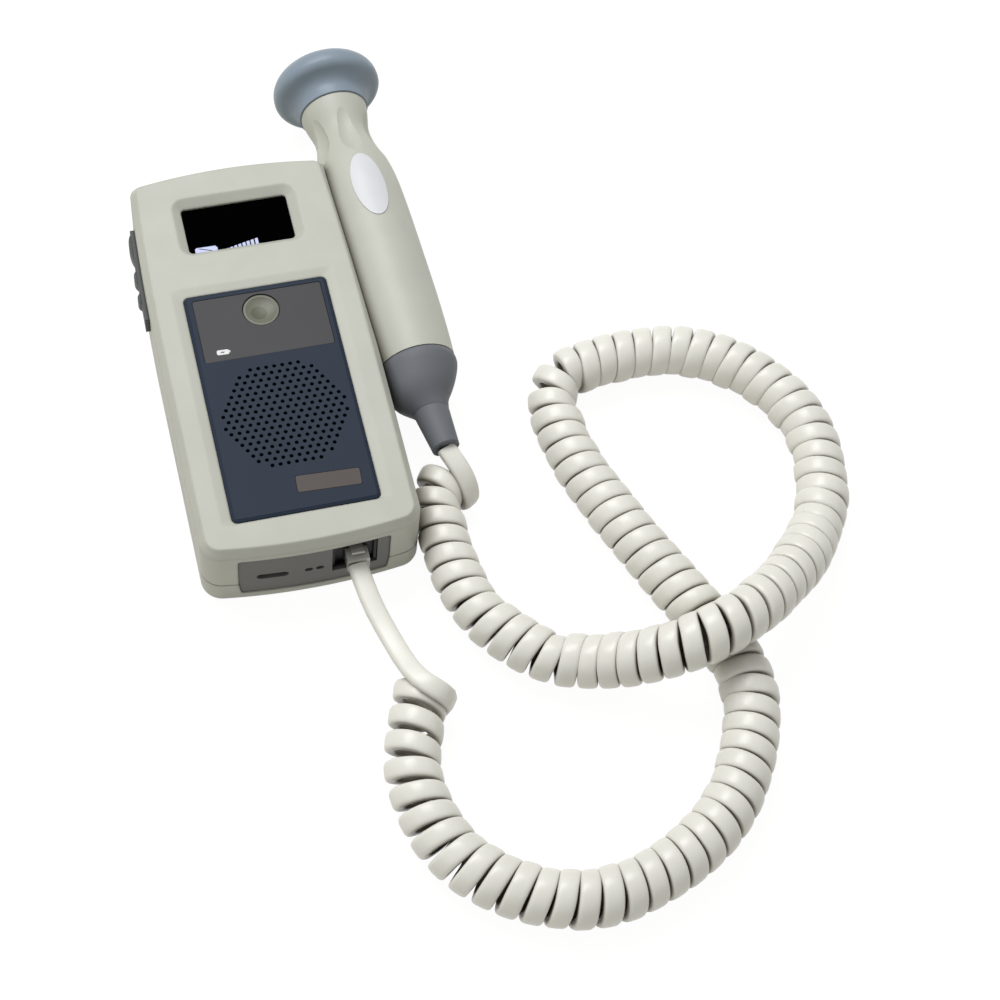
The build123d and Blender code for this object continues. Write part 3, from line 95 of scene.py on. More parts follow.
# A finish drifts slowly in tone, between these two levels of its noise, and has a fine grain
DRIFT_LOW, DRIFT_HIGH = 0.3, 0.7
DRIFT_DETAIL = 4
GRAIN_DETAIL = 3
GRAIN_STRENGTH = 0.35
ROUGHNESS_DRIFT = 0.06
SMOOTHEST = 0.02
# Numbers of the colour sockets of a Mix node
MIX_A, MIX_B, MIX_RESULT = 6, 7, 2
COAT_ROUGHNESS = 0.12

# ---------------------------------------------------------------- fine detail, in mm
FRONT = 32.8
CORNER_STEPS = 6
HOLE_SIDES = 20
HOLE_RADIUS = 0.68
PANEL_CENTRE = (0, -20.35)
PANEL_SIZE = (50.0, 90.5)
PANEL_RADIUS = 2.0
PANEL_THICKNESS = 1.8
PANEL_BEVEL = 1.0
PANEL_BEVEL_DROP = 0.5
LABEL_CENTRE = (0.2, 9.85)
LABEL_SIZE = (45.0, 25.9)
LABEL_RADIUS = 0.8
LABEL_TOP = 32.65
BADGE_CENTRE = (9.2, -55.8)
BADGE_POCKET = (21.8, 6.5)
BADGE_RADIUS = 0.7
BADGE_TURN = -2.4
SPEAKER_CENTRE = (0.35, -27.55)
GRILLE_PITCH = 2.763
GRILLE_ROWS = (7, 10, 11, 12, 13, 14, 15, 16, 15, 16, 15, 14, 13, 12, 11, 10, 7)
CLOTH_RADIUS = 22.8
CLOTH_LOW, CLOTH_HIGH = 0.05, 0.25
# Printed signs are sheets a little above what carries them
WINDOW_TOP = 29.5
DISPLAY_SIGN_LOW, DISPLAY_SIGN_HIGH = 0.02, 0.04
LABEL_SIGN_LOW, LABEL_SIGN_HIGH = 0.01, 0.03
BATTERY_SIGN = [(-16.9, 44.3), (-9.1, 44.3), (-8.9, 45.7), (-9.6, 46.7), (-16.3, 46.8), (-16.9, 46.2)]
BATTERY_SLIT = [(-15.6, 46.3), (-11.2, 44.7), (-10.9, 44.9), (-15.2, 46.4)]
WEDGE_LEFT = -7.8
WEDGE_RIGHT = 6.0
WEDGE_FLOOR = 44.3
WEDGE_HEIGHT = 3.1
WEDGE_BARS = 9
WEDGE_FILL = 0.72
WEDGE_LEAST = 0.2
PILL_CENTRE = (-15.6, 0.45)
PILL_SIZE = (4.2, 2.0)
PILL_RADIUS = 0.6
PILL_TURN = -2.0
PILL_NUB = 2.3
PILL_NUB_SIZE = (0.5, 1.0)
PILL_NUB_RADIUS = 0.2
PILL_BOLT = [(-16.6, 0.3), (-15.6, 0.9), (-15.65, 0.5), (-14.7, 0.6), (-15.7, 0.0), (-15.6, 0.35)]
# Middle of the button's rings, in mm, set where the painted shade of its dish centres rather than at the
# button's own middle
BUTTON_TONE_AND_SHADE_CENTRE = (-0.4, 14.5)
BUTTON_RADIUS = 6.2
# Colours from the middle of the rings outward, at shares of the button's radius: partly the button's own
# tone, partly painted shade of its dish
BUTTON_TONE_AND_SHADE_RINGS = [(0.0, (88, 89, 73)), (0.4, (91, 92, 77)), (0.5, (110, 111, 98)), (0.78, (109, 110, 96)),
                (1.0, (98, 98, 86))]

# ---------------------------------------------------------------- cord
# The cord is a flat ribbon. A roundness of 2 would make its section an ellipse, more makes it squarer
CORD_WIDTH = 6.8 * MM
CORD_THICKNESS = 3.9 * MM
CORD_ROUNDNESS = 3.4
CORD_SIDES = 20
# Straight lead from the plug over the first turn of the coil and round into it, in mm
PLUG_LEAD = [(13.9, -80.92, 16.7), (14.4, -87, 16.4), (16, -98, 15.8), (19.2, -110, 15.5),
             (22.2, -123, 18.3), (26.3, -130.1, 20.9), (31, -133.3, 18.6), (33.9, -133.9, 11.5),
             (30.6, -132, 3.8)]
# Directions of the cord's wide side at the points of that lead
PLUG_LEAD_WIDE = [(-1, -0.15, 0)] * 4 + [(-0.92, -0.33, 0), (-0.76, -0.65, 0), (-0.57, -0.76, -0.16),
                                         (-0.6, -0.8, 0), (-0.48, -0.8, -0.2)]
# Middle line of the coil, in mm, from the plug's end to the probe's end
COIL_ROUTE = [(25.5, -126.5, 10.1), (20.5, -139, 10.1), (14.5, -157, 10.1), (20.5, -184, 10.1),
              (39, -202, 10.1), (64, -210.5, 10.1), (90, -204.5, 10.1), (113, -190, 10.1),
              (127, -168, 10), (133, -147, 10), (127, -126, 10), (116.5, -103, 10), (105.5, -77, 10),
              (95.5, -48, 10), (95, -19, 10), (121, -13.5, 10), (148, -15, 10), (171, -31, 10.1),
              (183.5, -56, 10.1), (179, -83.4, 10.1), (173.2, -94.2, 10.9), (164.7, -105.3, 14.8),
              (154.2, -115.9, 20.5), (142.7, -124.9, 25.9), (131.1, -131.7, 29.2),
              (119.9, -135.5, 29.2), (109.1, -136.5, 25.9), (98.7, -135, 20.5), (88.3, -131.8, 14.8),
              (77.7, -127.7, 10.9), (67, -123.2, 10.1), (50, -104, 9.9), (46, -84, 9.9),
              (45.6, -71, 9.9), (45.8, -62, 9.9), (47.5, -55.5, 9.9), (51.5, -50.5, 9.9)]
# Lead from the last turn of the coil up into the probe's boot, in mm
PROBE_LEAD = [(55.8, -55.4, 3.2), (57.8, -58.8, 5.2), (58.3, -59.8, 8.8), (58.1, -57.8, 13.2),
              (56.6, -53.9, 17.4), (54.4, -49.3, 19.7), (52.67, -44.6, 20)]
# Directions of the cord's wide side at the points of that lead
PROBE_LEAD_WIDE = [(0.75, 0.6, 0), (0.8, 0.55, 0), (0.85, 0.5, 0), (0.9, 0.4, 0)] + [(0.94, 0.35, 0)] * 3
# Turn radius and pitch of the coil, in mm, at shares of its length
TURN_RADIUS = [(0, 7.3), (0.03, 7.7), (0.1, 7.8), (0.3, 7.8), (0.42, 7.2), (0.6, 7.1), (0.72, 7.7),
               (0.85, 7.3), (0.93, 7.0), (0.98, 7.0), (1, 6.9)]
TURN_PITCH = [(0, 9.3), (0.03, 8.9), (0.06, 8.1), (0.09, 7.5), (0.13, 7.15), (0.35, 7.2), (0.42, 6.9),
              (0.66, 6.95), (0.84, 6.9), (0.88, 7.2), (1, 7.3)]
# The pitch on the inner side of a bend is at least this. Every other turn is tucked in there, and the
# change from one turn to the next comes this share of a turn before the coil's lowest point
CROWDED_PITCH = 4.4 * MM
LEAST_CROWDING = 0.3
TUCK = 2.6 * MM
TUCK_CHANGE = 0.25
POINTS_PER_TURN = 16
TURN_JITTER = 0.16 * MM
# The middle line is read at this many points per control point and then at even steps
AXIS_STEPS = 24
AXIS_STEP = 0.25 * MM
AXIS_SMOOTHING = 20
CORD_STEPS = 2
# Share of the cord after which the piece at the probe's end starts
PROBE_PIECE_START = 0.915


def metres(points):
    return [tuple(value * MM for value in point) for point in points]


def smooth_line(points, steps):
    """Points along the NURBS spline that has these control points."""
    curve = bpy.data.curves.new("line", "CURVE")
    curve.dimensions = "3D"
    curve.resolution_u = steps
    spline = curve.splines.new("NURBS")
    spline.points.add(len(points) - 1)
    for control, point in zip(spline.points, points):
        control.co = (*point, 1)
    spline.order_u = 3
    spline.use_endpoint_u = True
    holder = bpy.data.objects.new("line", curve)
    mesh = bpy.data.meshes.new_from_object(holder)
    line = np.array([vertex.co for vertex in mesh.vertices], float)
    bpy.data.objects.remove(holder)
    bpy.data.meshes.remove(mesh)
    return line


def even_line(line, step):
    """The same line with points an even step apart."""
    reach = np.r_[0, np.cumsum(np.linalg.norm(np.diff(line, axis=0), axis=1))]
    places = np.arange(0, reach[-1], step)
    return np.stack([np.interp(places, reach, line[:, k]) for k in range(3)], 1)


def unit(vectors):
    return vectors / np.linalg.norm(vectors, axis=-1, keepdims=True)


def stops(pairs, shares):
    """Values in metres at these shares, between stops that are given in mm."""
    return np.interp(shares, [share for share, _ in pairs], [value * MM for _, value in pairs])


def coil_points():
    """Control points of the coil's turns and the direction of the coil's middle line at each."""
    axis = even_line(smooth_line(metres(COIL_ROUTE), AXIS_STEPS), AXIS_STEP)
    kernel = np.hanning(2 * AXIS_SMOOTHING + 1)
    kernel = kernel / kernel.sum()
    padded = np.concatenate([np.repeat(axis[:1], AXIS_SMOOTHING, 0), axis,
                             np.repeat(axis[-1:], AXIS_SMOOTHING, 0)])
    tangent = unit(np.stack([np.convolve(np.gradient(padded[:, k]), kernel, "valid") for k in range(3)], 1))
    step = np.linalg.norm(np.diff(axis, axis=0), axis=1).mean()
    bend = np.gradient(tangent, step, axis=0)
    side = np.cross((0, 0, 1.0), tangent[0])
    sides = []
    for direction in tangent:
        side = unit(side - direction * side.dot(direction))
        sides.append(side)
    side = np.array(sides)
    rise = np.cross(tangent, side)
    shares = np.linspace(0, 1, len(axis))
    radius = stops(TURN_RADIUS, shares)
    crowding = 1 - radius * np.linalg.norm(bend, axis=1)
    pitch = np.maximum(stops(TURN_PITCH, shares), CROWDED_PITCH / np.maximum(crowding, LEAST_CROWDING))
    turns = np.cumsum(step / pitch)
    turns *= round(turns[-1]) / turns[-1]
    count = round(turns[-1]) * POINTS_PER_TURN + 1
    places = np.interp(np.arange(count) / POINTS_PER_TURN, turns, np.arange(len(axis)))
    jitter = [random.gauss(0, TURN_JITTER) for _ in range(int(turns[-1]) + 3)]
    points, along = [], []
    for number, place in enumerate(places):
        index = int(place)
        turn = number / POINTS_PER_TURN
        angle = -math.pi / 2 - 2 * math.pi * turn
        outward = side[index] * math.cos(angle) + rise[index] * math.sin(angle)
        inner = max(0.0, outward.dot(bend[index]) / (np.linalg.norm(bend[index]) + 1e-9))
        crowd = max(0.0, CORD_WIDTH - pitch[index] * crowding[index]) / CORD_WIDTH
        tuck = TUCK * inner * crowd * 2 * (int(turn + TUCK_CHANGE) % 2)
        wander = np.interp(turn, range(len(jitter)), jitter)
        points.append(axis[index] + outward * (radius[index] + wander - tuck))
        along.append(tangent[index])
    return points, along


def cord_line():
    """Middle line of the whole cord and the direction of its wide side, from plug to probe."""
    turns, along = coil_points()
    controls = np.array(metres(PLUG_LEAD) + turns + metres(PROBE_LEAD))
    wide = unit(np.array(PLUG_LEAD_WIDE + along + PROBE_LEAD_WIDE))
    line = smooth_line(controls, CORD_STEPS)
    rail = smooth_line(controls + wide * MM, CORD_STEPS)
    return line, rail - line


def oval_tube(name, line, wide):
    """Closed tube of oval section along a line; wide is the direction of its wide side."""
    direction = unit(np.gradient(line, axis=0))
    across = unit(wide - direction * (wide * direction).sum(1, keepdims=True))
    through = np.cross(direction, across)
    angles = np.arange(CORD_SIDES) * 2 * math.pi / CORD_SIDES
    power = 2 / CORD_ROUNDNESS
    x = np.sign(np.cos(angles)) * abs(np.cos(angles)) ** power * CORD_WIDTH / 2
    y = np.sign(np.sin(angles)) * abs(np.sin(angles)) ** power * CORD_THICKNESS / 2
    rings = line[:, None] + across[:, None] * x[None, :, None] + through[:, None] * y[None, :, None]
    sides = CORD_SIDES
    last = (len(line) - 1) * sides
    faces = [(ring + k, ring + (k + 1) % sides, ring + sides + (k + 1) % sides, ring + sides + k)
             for ring in range(0, last, sides) for k in range(sides)]
    faces.append(tuple(range(sides))[::-1])
    faces.append(tuple(range(last, last + sides)))
    mesh = bpy.data.meshes.new(name)
    mesh.from_pydata(rings.reshape(-1, 3).tolist(), [], faces)
    mesh.shade_smooth()
    for edge in mesh.edges:
        low, high = sorted(edge.vertices)
        if high < sides or low >= last:
            edge.use_edge_sharp = True
    return link(bpy.data.objects.new(name, mesh))


def link(obj):
    bpy.context.scene.collection.objects.link(obj)
    return obj


def make_cord(material):
    """The whole cord in two pieces that meet at a low point."""
    line, wide = cord_line()
    split = int(len(line) * PROBE_PIECE_START)
    split += int(np.argmin(line[split:split + 2 * POINTS_PER_TURN, 2]))
    pieces = []
    for name, start, end in (("cord_main", 0, split + 1), ("cord_probe_end", split, len(line))):
        piece = oval_tube(name, line[start:end], wide[start:end])
        piece.data.materials.append(material)
        pieces.append((piece, line[start:end]))
    (main, main_line), (probe_end, probe_line) = pieces
    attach(main, "housing")
    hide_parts("plug_lead", "curly_cord")
    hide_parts("probe_lead")
    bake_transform(probe_end)


# ---------------------------------------------------------------- finishes
def linear(red, green, blue):
    """Scene colour of a screen colour whose parts are 0 to 255."""
    return tuple(c / 255 / 12.92 if c <= 10 else ((c / 255 + 0.055) / 1.055) ** 2.4
                 for c in (red, green, blue))


def finish(name, colour, roughness=0.45, grain=0.35, depth=0.02, mottle=0.03, coat=0.0, metallic=0.0,
           patch=14.0, transmission=0.0, specular=0.3, edge=0.25, reach=PAINTED_SHADE_REACH):
    """Moulded surface with painted shade in its nooks. In mm, grain is the size of its texture and
    depth the height of it, patch the size of the slow drift in tone, edge the radius to which sharp
    edges look rounded, and reach how far the painted shade in nooks reaches."""
    material = bpy.data.materials.new(name)
    material.use_nodes = True
    nodes, links = material.node_tree.nodes, material.node_tree.links
    shader = nodes["Principled BSDF"]
    place = nodes.new("ShaderNodeTexCoord")
    drift = nodes.new("ShaderNodeTexNoise")
    drift.inputs["Scale"].default_value = 1 / (patch * MM)
    drift.inputs["Detail"].default_value = DRIFT_DETAIL
    tone = nodes.new("ShaderNodeValToRGB")
    base = linear(*colour)
    tone.color_ramp.elements[0].position = DRIFT_LOW
    tone.color_ramp.elements[1].position = DRIFT_HIGH
    tone.color_ramp.elements[0].color = (*[c * (1 - mottle) for c in base], 1)
    tone.color_ramp.elements[1].color = (*[min(1, c * (1 + mottle)) for c in base], 1)
    fine = nodes.new("ShaderNodeTexNoise")
    fine.inputs["Scale"].default_value = 1 / (grain * MM)
    fine.inputs["Detail"].default_value = GRAIN_DETAIL
    bump = nodes.new("ShaderNodeBump")
    bump.inputs["Strength"].default_value = GRAIN_STRENGTH
    bump.inputs["Distance"].default_value = depth * MM
    rough = nodes.new("ShaderNodeMapRange")
    rough.inputs["To Min"].default_value = max(SMOOTHEST, roughness - ROUGHNESS_DRIFT)
    rough.inputs["To Max"].default_value = min(1, roughness + ROUGHNESS_DRIFT)
    for texture in (drift, fine):
        links.new(place.outputs["Object"], texture.inputs["Vector"])
    links.new(drift.outputs["Fac"], tone.inputs["Fac"])
    # Painted shade: the colour is multiplied by a warm dark tint where nooks are closed in, standing in for
    # the shade that falls there
    painted_nook_shade = nodes.new("ShaderNodeAmbientOcclusion")
    painted_nook_shade.samples = PAINTED_SHADE_SAMPLES
    painted_nook_shade.inputs["Distance"].default_value = reach * MM
    shade = nodes.new("ShaderNodeMix")
    shade.data_type = "RGBA"
    shade.blend_type = "MULTIPLY"
    shade.inputs["Factor"].default_value = 1
    painted_nook_tint = nodes.new("ShaderNodeValToRGB")
    painted_nook_tint.color_ramp.elements[0].color = (*PAINTED_SHADE_TINT, 1)
    painted_nook_tint.color_ramp.elements[1].position = PAINTED_SHADE_END
    links.new(painted_nook_shade.outputs["AO"], painted_nook_tint.inputs["Fac"])
    links.new(tone.outputs["Color"], shade.inputs[MIX_A])
    links.new(painted_nook_tint.outputs["Color"], shade.inputs[MIX_B])
    links.new(shade.outputs[MIX_RESULT], shader.inputs["Base Color"])
    soft = nodes.new("ShaderNodeBevel")
    soft.samples = EDGE_SAMPLES
    soft.inputs["Radius"].default_value = edge * MM
    links.new(soft.outputs["Normal"], bump.inputs["Normal"])
    links.new(fine.outputs["Fac"], bump.inputs["Height"])
    links.new(bump.outputs["Normal"], shader.inputs["Normal"])
    links.new(fine.outputs["Fac"], rough.inputs["Value"])
    links.new(rough.outputs["Result"], shader.inputs["Roughness"])
    shader.inputs["Metallic"].default_value = metallic
    shader.inputs["Coat Weight"].default_value = coat
    shader.inputs["Coat Roughness"].default_value = COAT_ROUGHNESS
    shader.inputs["Transmission Weight"].default_value = transmission
    shader.inputs["Specular IOR Level"].default_value = specular
    return material


def button_finish():
    """Milky button: a dull disc in its middle and a paler ring round it, partly its own tone and partly
    painted shade of its dish, with the rings' middle set where that shade falls.
    """
    material = finish("button_plastic", (134, 135, 118), roughness=0.35, specular=0.3)
    nodes, links = material.node_tree.nodes, material.node_tree.links
    place = nodes.new("ShaderNodeTexCoord")
    flat = nodes.new("ShaderNodeVectorMath")
    flat.operation = "MULTIPLY"
    flat.inputs[1].default_value = (1, 1, 0)
    reach = nodes.new("ShaderNodeVectorMath")
    reach.operation = "DISTANCE"
    reach.inputs[1].default_value = (*metres([BUTTON_TONE_AND_SHADE_CENTRE])[0], 0)
    share = nodes.new("ShaderNodeMath")
    share.operation = "DIVIDE"
    share.inputs[1].default_value = BUTTON_RADIUS * MM
    # Rings of colour: partly the button's own tone, partly painted shade of its dish
    rings = nodes.new("ShaderNodeValToRGB")
    while len(rings.color_ramp.elements) < len(BUTTON_TONE_AND_SHADE_RINGS):
        rings.color_ramp.elements.new(0.5)
    for element, (position, colour) in zip(rings.color_ramp.elements, BUTTON_TONE_AND_SHADE_RINGS):
        element.position = position
        element.color = (*linear(*colour), 1)
    links.new(place.outputs["Object"], flat.inputs[0])
    links.new(flat.outputs[0], reach.inputs[0])
    links.new(reach.outputs["Value"], share.inputs[0])
    links.new(share.outputs[0], rings.inputs["Fac"])
    links.new(rings.outputs["Color"], nodes["Principled BSDF"].inputs["Base Color"])
    return material


# The finishes paint shade into their nooks (the button's rings replace it); the housing, the probe and the
# cord each have their own reach for that painted shade
FINISHES = {
    "housing_plastic": finish("housing_plastic", (187, 188, 177), grain=0.3, depth=0.015, edge=1.3,
                              reach=HOUSING_PAINTED_SHADE_REACH),
    "navy_panel": finish("navy_panel", (40, 50, 65), roughness=0.55, grain=0.25, depth=0.02, specular=0.15),
    "label_grey": finish("label_grey", (70, 70, 72), roughness=0.45, grain=0.2, depth=0.006, specular=0.15),
    "badge_grey": finish("badge_grey", (84, 77, 75), roughness=0.42, grain=0.2, depth=0.006, specular=0.15),
    "display_glass": finish("display_glass", (2, 2, 3), roughness=0.4, grain=3, depth=0.001, specular=0.0),
    "black_component": finish("black_component", (22, 22, 22), roughness=0.5),
    "circuit_board": finish("circuit_board", (28, 92, 56), roughness=0.35, mottle=0.12, patch=2),
    "steel": finish("steel", (190, 190, 188), roughness=0.3, metallic=1),
    "contact_brass": finish("contact_brass", (205, 165, 90), roughness=0.25, metallic=1),
    "keypad_rubber": finish("keypad_rubber", (88, 93, 92), roughness=0.5, grain=0.25, depth=0.02, edge=0.8),
    "button_plastic": button_finish(),
    "speaker_paper": finish("speaker_paper", (12, 12, 13), roughness=0.9, specular=0.05),
    "battery_jacket": finish("battery_jacket", (70, 84, 96), roughness=0.3, coat=0.4),
    "port_grey": finish("port_grey", (112, 112, 109), roughness=0.5, grain=0.25, specular=0.2),
    "jack_black": finish("jack_black", (14, 13, 13), roughness=0.45, specular=0.15),
    "clear_plug": finish("clear_plug", (240, 240, 234), roughness=0.06, transmission=0.4, specular=0.5),
    "probe_plastic": finish("probe_plastic", (189, 190, 179), roughness=0.42, grain=0.3, depth=0.015,
                            reach=PROBE_PAINTED_SHADE_REACH),
    "probe_head_plastic": finish("probe_head_plastic", (136, 149, 161), roughness=0.36, grain=0.3),
    "probe_membrane": finish("probe_membrane", (96, 102, 110), roughness=0.45),
    "crystal_ceramic": finish("crystal_ceramic", (214, 208, 190), roughness=0.6),
    "backing_rubber": finish("backing_rubber", (34, 34, 34), roughness=0.8),
    "boot_rubber": finish("boot_rubber", (108, 111, 117), roughness=0.55, grain=0.3, depth=0.02, edge=0.6),
    "label_white": finish("label_white", (214, 215, 218), roughness=0.35, grain=0.2, depth=0.004),
    "cord_jacket": finish("cord_jacket", (232, 231, 222), roughness=0.3, grain=0.5, depth=0.006, edge=0.05,
                          specular=0.45, reach=CORD_PAINTED_SHADE_REACH),
    "display_marks": finish("display_marks", (206, 212, 246), roughness=0.6, specular=0.05),
    "label_marks": finish("label_marks", (232, 233, 232), roughness=0.5, specular=0.1),
}


def dress_nodes():
    """Each carried-over piece of the CAD part gets the finish of its material slot."""
    slots = {part["node"]: part["material_slot"] for part in frame["record"]["subparts"]}
    for node, obj in frame["nodes"].items():
        obj.data.materials.clear()
        obj.data.materials.append(FINISHES[slots[node]])


# ---------------------------------------------------------------- fine detail
def rounded(centre, size, radius, turn=0.0):
    """Corner points of a rounded rectangle, in mm."""
    points = []
    for corner in range(4):
        signs = (1, -1, -1, 1)[corner], (1, 1, -1, -1)[corner]
        middle = [(span / 2 - radius) * sign for span, sign in zip(size, signs)]
        for step in range(CORNER_STEPS + 1):
            angle = math.radians(90 * (corner + step / CORNER_STEPS))
            points.append((middle[0] + radius * math.cos(angle), middle[1] + radius * math.sin(angle)))
    slant = math.radians(turn)
    return [(centre[0] + x * math.cos(slant) - y * math.sin(slant),
             centre[1] + x * math.sin(slant) + y * math.cos(slant)) for x, y in points]


def circle(centre, radius):
    angles = [2 * math.pi * k / HOLE_SIDES for k in range(HOLE_SIDES)]
    return [(centre[0] + radius * math.cos(a), centre[1] + radius * math.sin(a)) for a in angles]


def plate_mesh(name, loops, low, high):
    """Plate between two heights, in mm; loops inside its outline are holes."""
    curve = bpy.data.curves.new(name, "CURVE")
    curve.dimensions = "2D"
    curve.fill_mode = "BOTH"
    curve.extrude = (high - low) / 2 * MM
    for loop in loops:
        spline = curve.splines.new("POLY")
        spline.points.add(len(loop) - 1)
        for control, (x, y) in zip(spline.points, loop):
            control.co = (x * MM, y * MM, 0, 1)
        spline.use_cyclic_u = True
    holder = bpy.data.objects.new(name, curve)
    mesh = bpy.data.meshes.new_from_object(holder)
    bpy.data.objects.remove(holder)
    mesh.transform(Matrix.Translation((0, 0, (low + high) / 2 * MM)))
    return mesh


def housing_piece(name, mesh, finish_name):
    mesh.materials.clear()
    mesh.materials.append(FINISHES[finish_name])
    piece = link(bpy.data.objects.new(name, mesh))
    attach(piece, "housing")
    return piece


def grille_places():
    """Middles of the sound holes, row by row, in mm."""
    middle = (len(GRILLE_ROWS) - 1) / 2
    places = []
    for row, count in enumerate(GRILLE_ROWS):
        left = SPEAKER_CENTRE[0] - (count - 1) / 2 * GRILLE_PITCH
        y = SPEAKER_CENTRE[1] + (row - middle) * GRILLE_PITCH * math.sin(math.radians(60))
        places += [(left + number * GRILLE_PITCH, y) for number in range(count)]
    return places


def make_speaker_panel():
    """Speaker panel with round sound holes, and the dark cloth behind them."""
    seat = FRONT - PANEL_THICKNESS
    inner_size = [size - 2 * PANEL_BEVEL for size in PANEL_SIZE]
    inner = rounded(PANEL_CENTRE, inner_size, PANEL_RADIUS - PANEL_BEVEL)
    outer = rounded(PANEL_CENTRE, PANEL_SIZE, PANEL_RADIUS)
    loops = [inner, rounded(LABEL_CENTRE, LABEL_SIZE, LABEL_RADIUS),
             rounded(BADGE_CENTRE, BADGE_POCKET, BADGE_RADIUS, BADGE_TURN)]
    loops += [circle(place, HOLE_RADIUS) for place in grille_places()]
    mesh = plate_mesh("speaker_panel_round", loops, seat, FRONT)
    work = bmesh.new()
    work.from_mesh(mesh)
    rows = [[work.verts.new((x * MM, y * MM, z * MM)) for x, y in loop]
            for loop, z in ((inner, FRONT), (outer, FRONT - PANEL_BEVEL_DROP), (outer, seat), (inner, seat))]
    for above, below in zip(rows, rows[1:]):
        for k in range(len(above)):
            after = (k + 1) % len(above)
            work.faces.new((above[k], below[k], below[after], above[after]))
    work.to_mesh(mesh)
    work.free()
    panel = housing_piece("speaker_panel_round", mesh, "navy_panel")
    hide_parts("speaker_panel")
    disc = circle(SPEAKER_CENTRE, CLOTH_RADIUS)
    cloth = plate_mesh("grille_cloth", [disc], seat + CLOTH_LOW, seat + CLOTH_HIGH)
    housing_piece("grille_cloth", cloth, "speaker_paper")


def make_marks():
    """Display signs and the battery sign on the label, as thin printed sheets."""
    loops = [BATTERY_SIGN, BATTERY_SLIT]
    width = (WEDGE_RIGHT - WEDGE_LEFT) / WEDGE_BARS
    for bar in range(WEDGE_BARS):
        left, right = [WEDGE_LEFT + place * width for place in (bar, bar + WEDGE_FILL)]
        rises = [max(WEDGE_LEAST, WEDGE_HEIGHT * place / WEDGE_BARS) for place in (bar, bar + WEDGE_FILL)]
        loops.append([(left, WEDGE_FLOOR), (right, WEDGE_FLOOR), (right, WEDGE_FLOOR + rises[1]),
                      (left, WEDGE_FLOOR + rises[0])])
    signs = plate_mesh("display_signs", loops,
                       WINDOW_TOP + DISPLAY_SIGN_LOW, WINDOW_TOP + DISPLAY_SIGN_HIGH)
    housing_piece("display_signs", signs, "display_marks")
    pill = [rounded(PILL_CENTRE, PILL_SIZE, PILL_RADIUS, PILL_TURN),
            rounded((PILL_CENTRE[0] + PILL_NUB, PILL_CENTRE[1]), PILL_NUB_SIZE, PILL_NUB_RADIUS, PILL_TURN),
            PILL_BOLT]
    marks = plate_mesh("label_sign", pill, LABEL_TOP + LABEL_SIGN_LOW, LABEL_TOP + LABEL_SIGN_HIGH)
    housing_piece("label_sign", marks, "label_marks")


# ---------------------------------------------------------------- room
def make_camera():
    camera = bpy.data.objects.new("camera", bpy.data.cameras.new("camera"))
    camera.data.lens = LENS
    camera.data.sensor_width = SENSOR
    camera.data.shift_x, camera.data.shift_y = CAMERA_SHIFT
    turn = Matrix((CAMERA_RIGHT, CAMERA_UP, CAMERA_BACK)).transposed().to_4x4()
    camera.matrix_world = Matrix.Translation(CAMERA_PLACE) @ turn
    link(camera)
    bpy.context.scene.camera = camera


def make_lamp(name, place, target, size, power):
    lamp = bpy.data.lights.new(name, "AREA")
    lamp.shape = "RECTANGLE"
    lamp.size, lamp.size_y = size
    lamp.energy = power
    obj = link(bpy.data.objects.new(name, lamp))
    aim = (Vector(target) - Vector(place)).to_track_quat("-Z", "Y")
    obj.matrix_world = Matrix.Translation(place) @ aim.to_matrix().to_4x4()


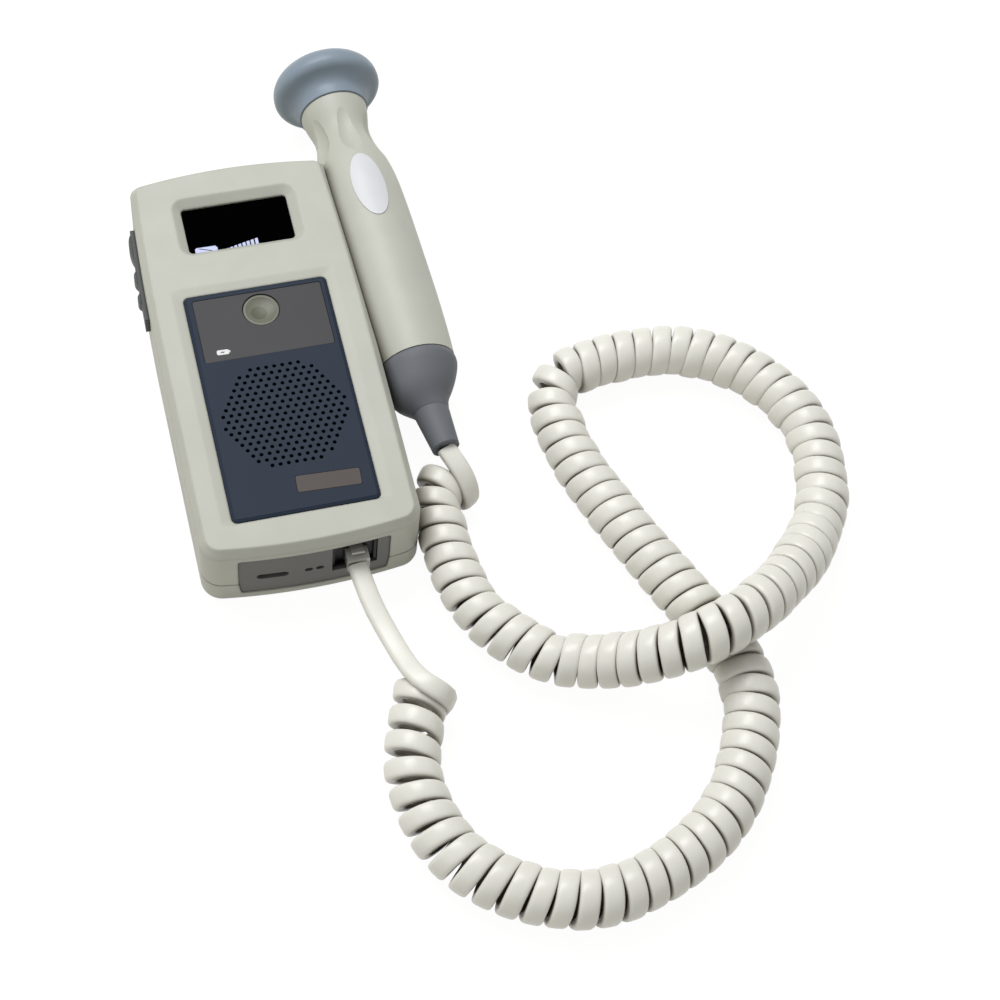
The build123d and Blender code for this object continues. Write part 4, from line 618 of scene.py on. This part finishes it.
def make_room():
    """White surroundings, the lamps and a floor that keeps the object's shadow."""
    scene = bpy.context.scene
    scene.view_settings.view_transform = "Standard"
    world = bpy.data.worlds.new("world")
    scene.world = world
    world.use_nodes = True
    nodes, links = world.node_tree.nodes, world.node_tree.links
    sky = nodes["Background"]
    sky.inputs["Color"].default_value = WHITE
    sky.inputs["Strength"].default_value = SKY
    seen = nodes.new("ShaderNodeBackground")
    seen.inputs["Color"].default_value = WHITE
    seen.inputs["Strength"].default_value = SEEN_SKY
    path = nodes.new("ShaderNodeLightPath")
    either = nodes.new("ShaderNodeMath")
    either.operation = "MAXIMUM"
    mix = nodes.new("ShaderNodeMixShader")
    links.new(path.outputs["Is Camera Ray"], either.inputs[0])
    links.new(path.outputs["Is Transmission Ray"], either.inputs[1])
    links.new(either.outputs[0], mix.inputs["Fac"])
    links.new(sky.outputs[0], mix.inputs[1])
    links.new(seen.outputs[0], mix.inputs[2])
    links.new(mix.outputs[0], nodes["World Output"].inputs["Surface"])
    for name, place, size, power in LAMPS:
        make_lamp(name, place, LAMP_TARGET, size, power)
    floor_mesh = bpy.data.meshes.new("floor")
    corners = [(x * FLOOR_REACH, y * FLOOR_REACH, 0) for x, y in ((-1, -1), (1, -1), (1, 1), (-1, 1))]
    floor_mesh.from_pydata(corners, [], [(0, 1, 2, 3)])
    floor = link(bpy.data.objects.new("floor", floor_mesh))
    floor_mesh.materials.append(floor_finish())


def floor_finish():
    """Matte floor that glows only where the camera or a reflection sees it."""
    material = bpy.data.materials.new("floor")
    material.use_nodes = True
    nodes, links = material.node_tree.nodes, material.node_tree.links
    nodes.remove(nodes["Principled BSDF"])
    matte = nodes.new("ShaderNodeBsdfDiffuse")
    matte.inputs["Color"].default_value = FLOOR_COLOUR
    glow = nodes.new("ShaderNodeEmission")
    glow.inputs["Strength"].default_value = FLOOR_GLOW_STRENGTH
    path = nodes.new("ShaderNodeLightPath")
    seen = nodes.new("ShaderNodeMath")
    seen.operation = "MAXIMUM"
    share = nodes.new("ShaderNodeMath")
    share.operation = "MULTIPLY"
    share.inputs[1].default_value = FLOOR_GLOW
    mix = nodes.new("ShaderNodeMixShader")
    links.new(path.outputs["Is Camera Ray"], seen.inputs[0])
    links.new(path.outputs["Is Glossy Ray"], seen.inputs[1])
    links.new(seen.outputs[0], share.inputs[0])
    links.new(share.outputs[0], mix.inputs["Fac"])
    links.new(matte.outputs[0], mix.inputs[1])
    links.new(glow.outputs[0], mix.inputs[2])
    links.new(mix.outputs[0], nodes["Material Output"].inputs["Surface"])
    return material


make_camera()
make_room()
dress_nodes()
make_speaker_panel()
make_marks()
make_cord(FINISHES["cord_jacket"])
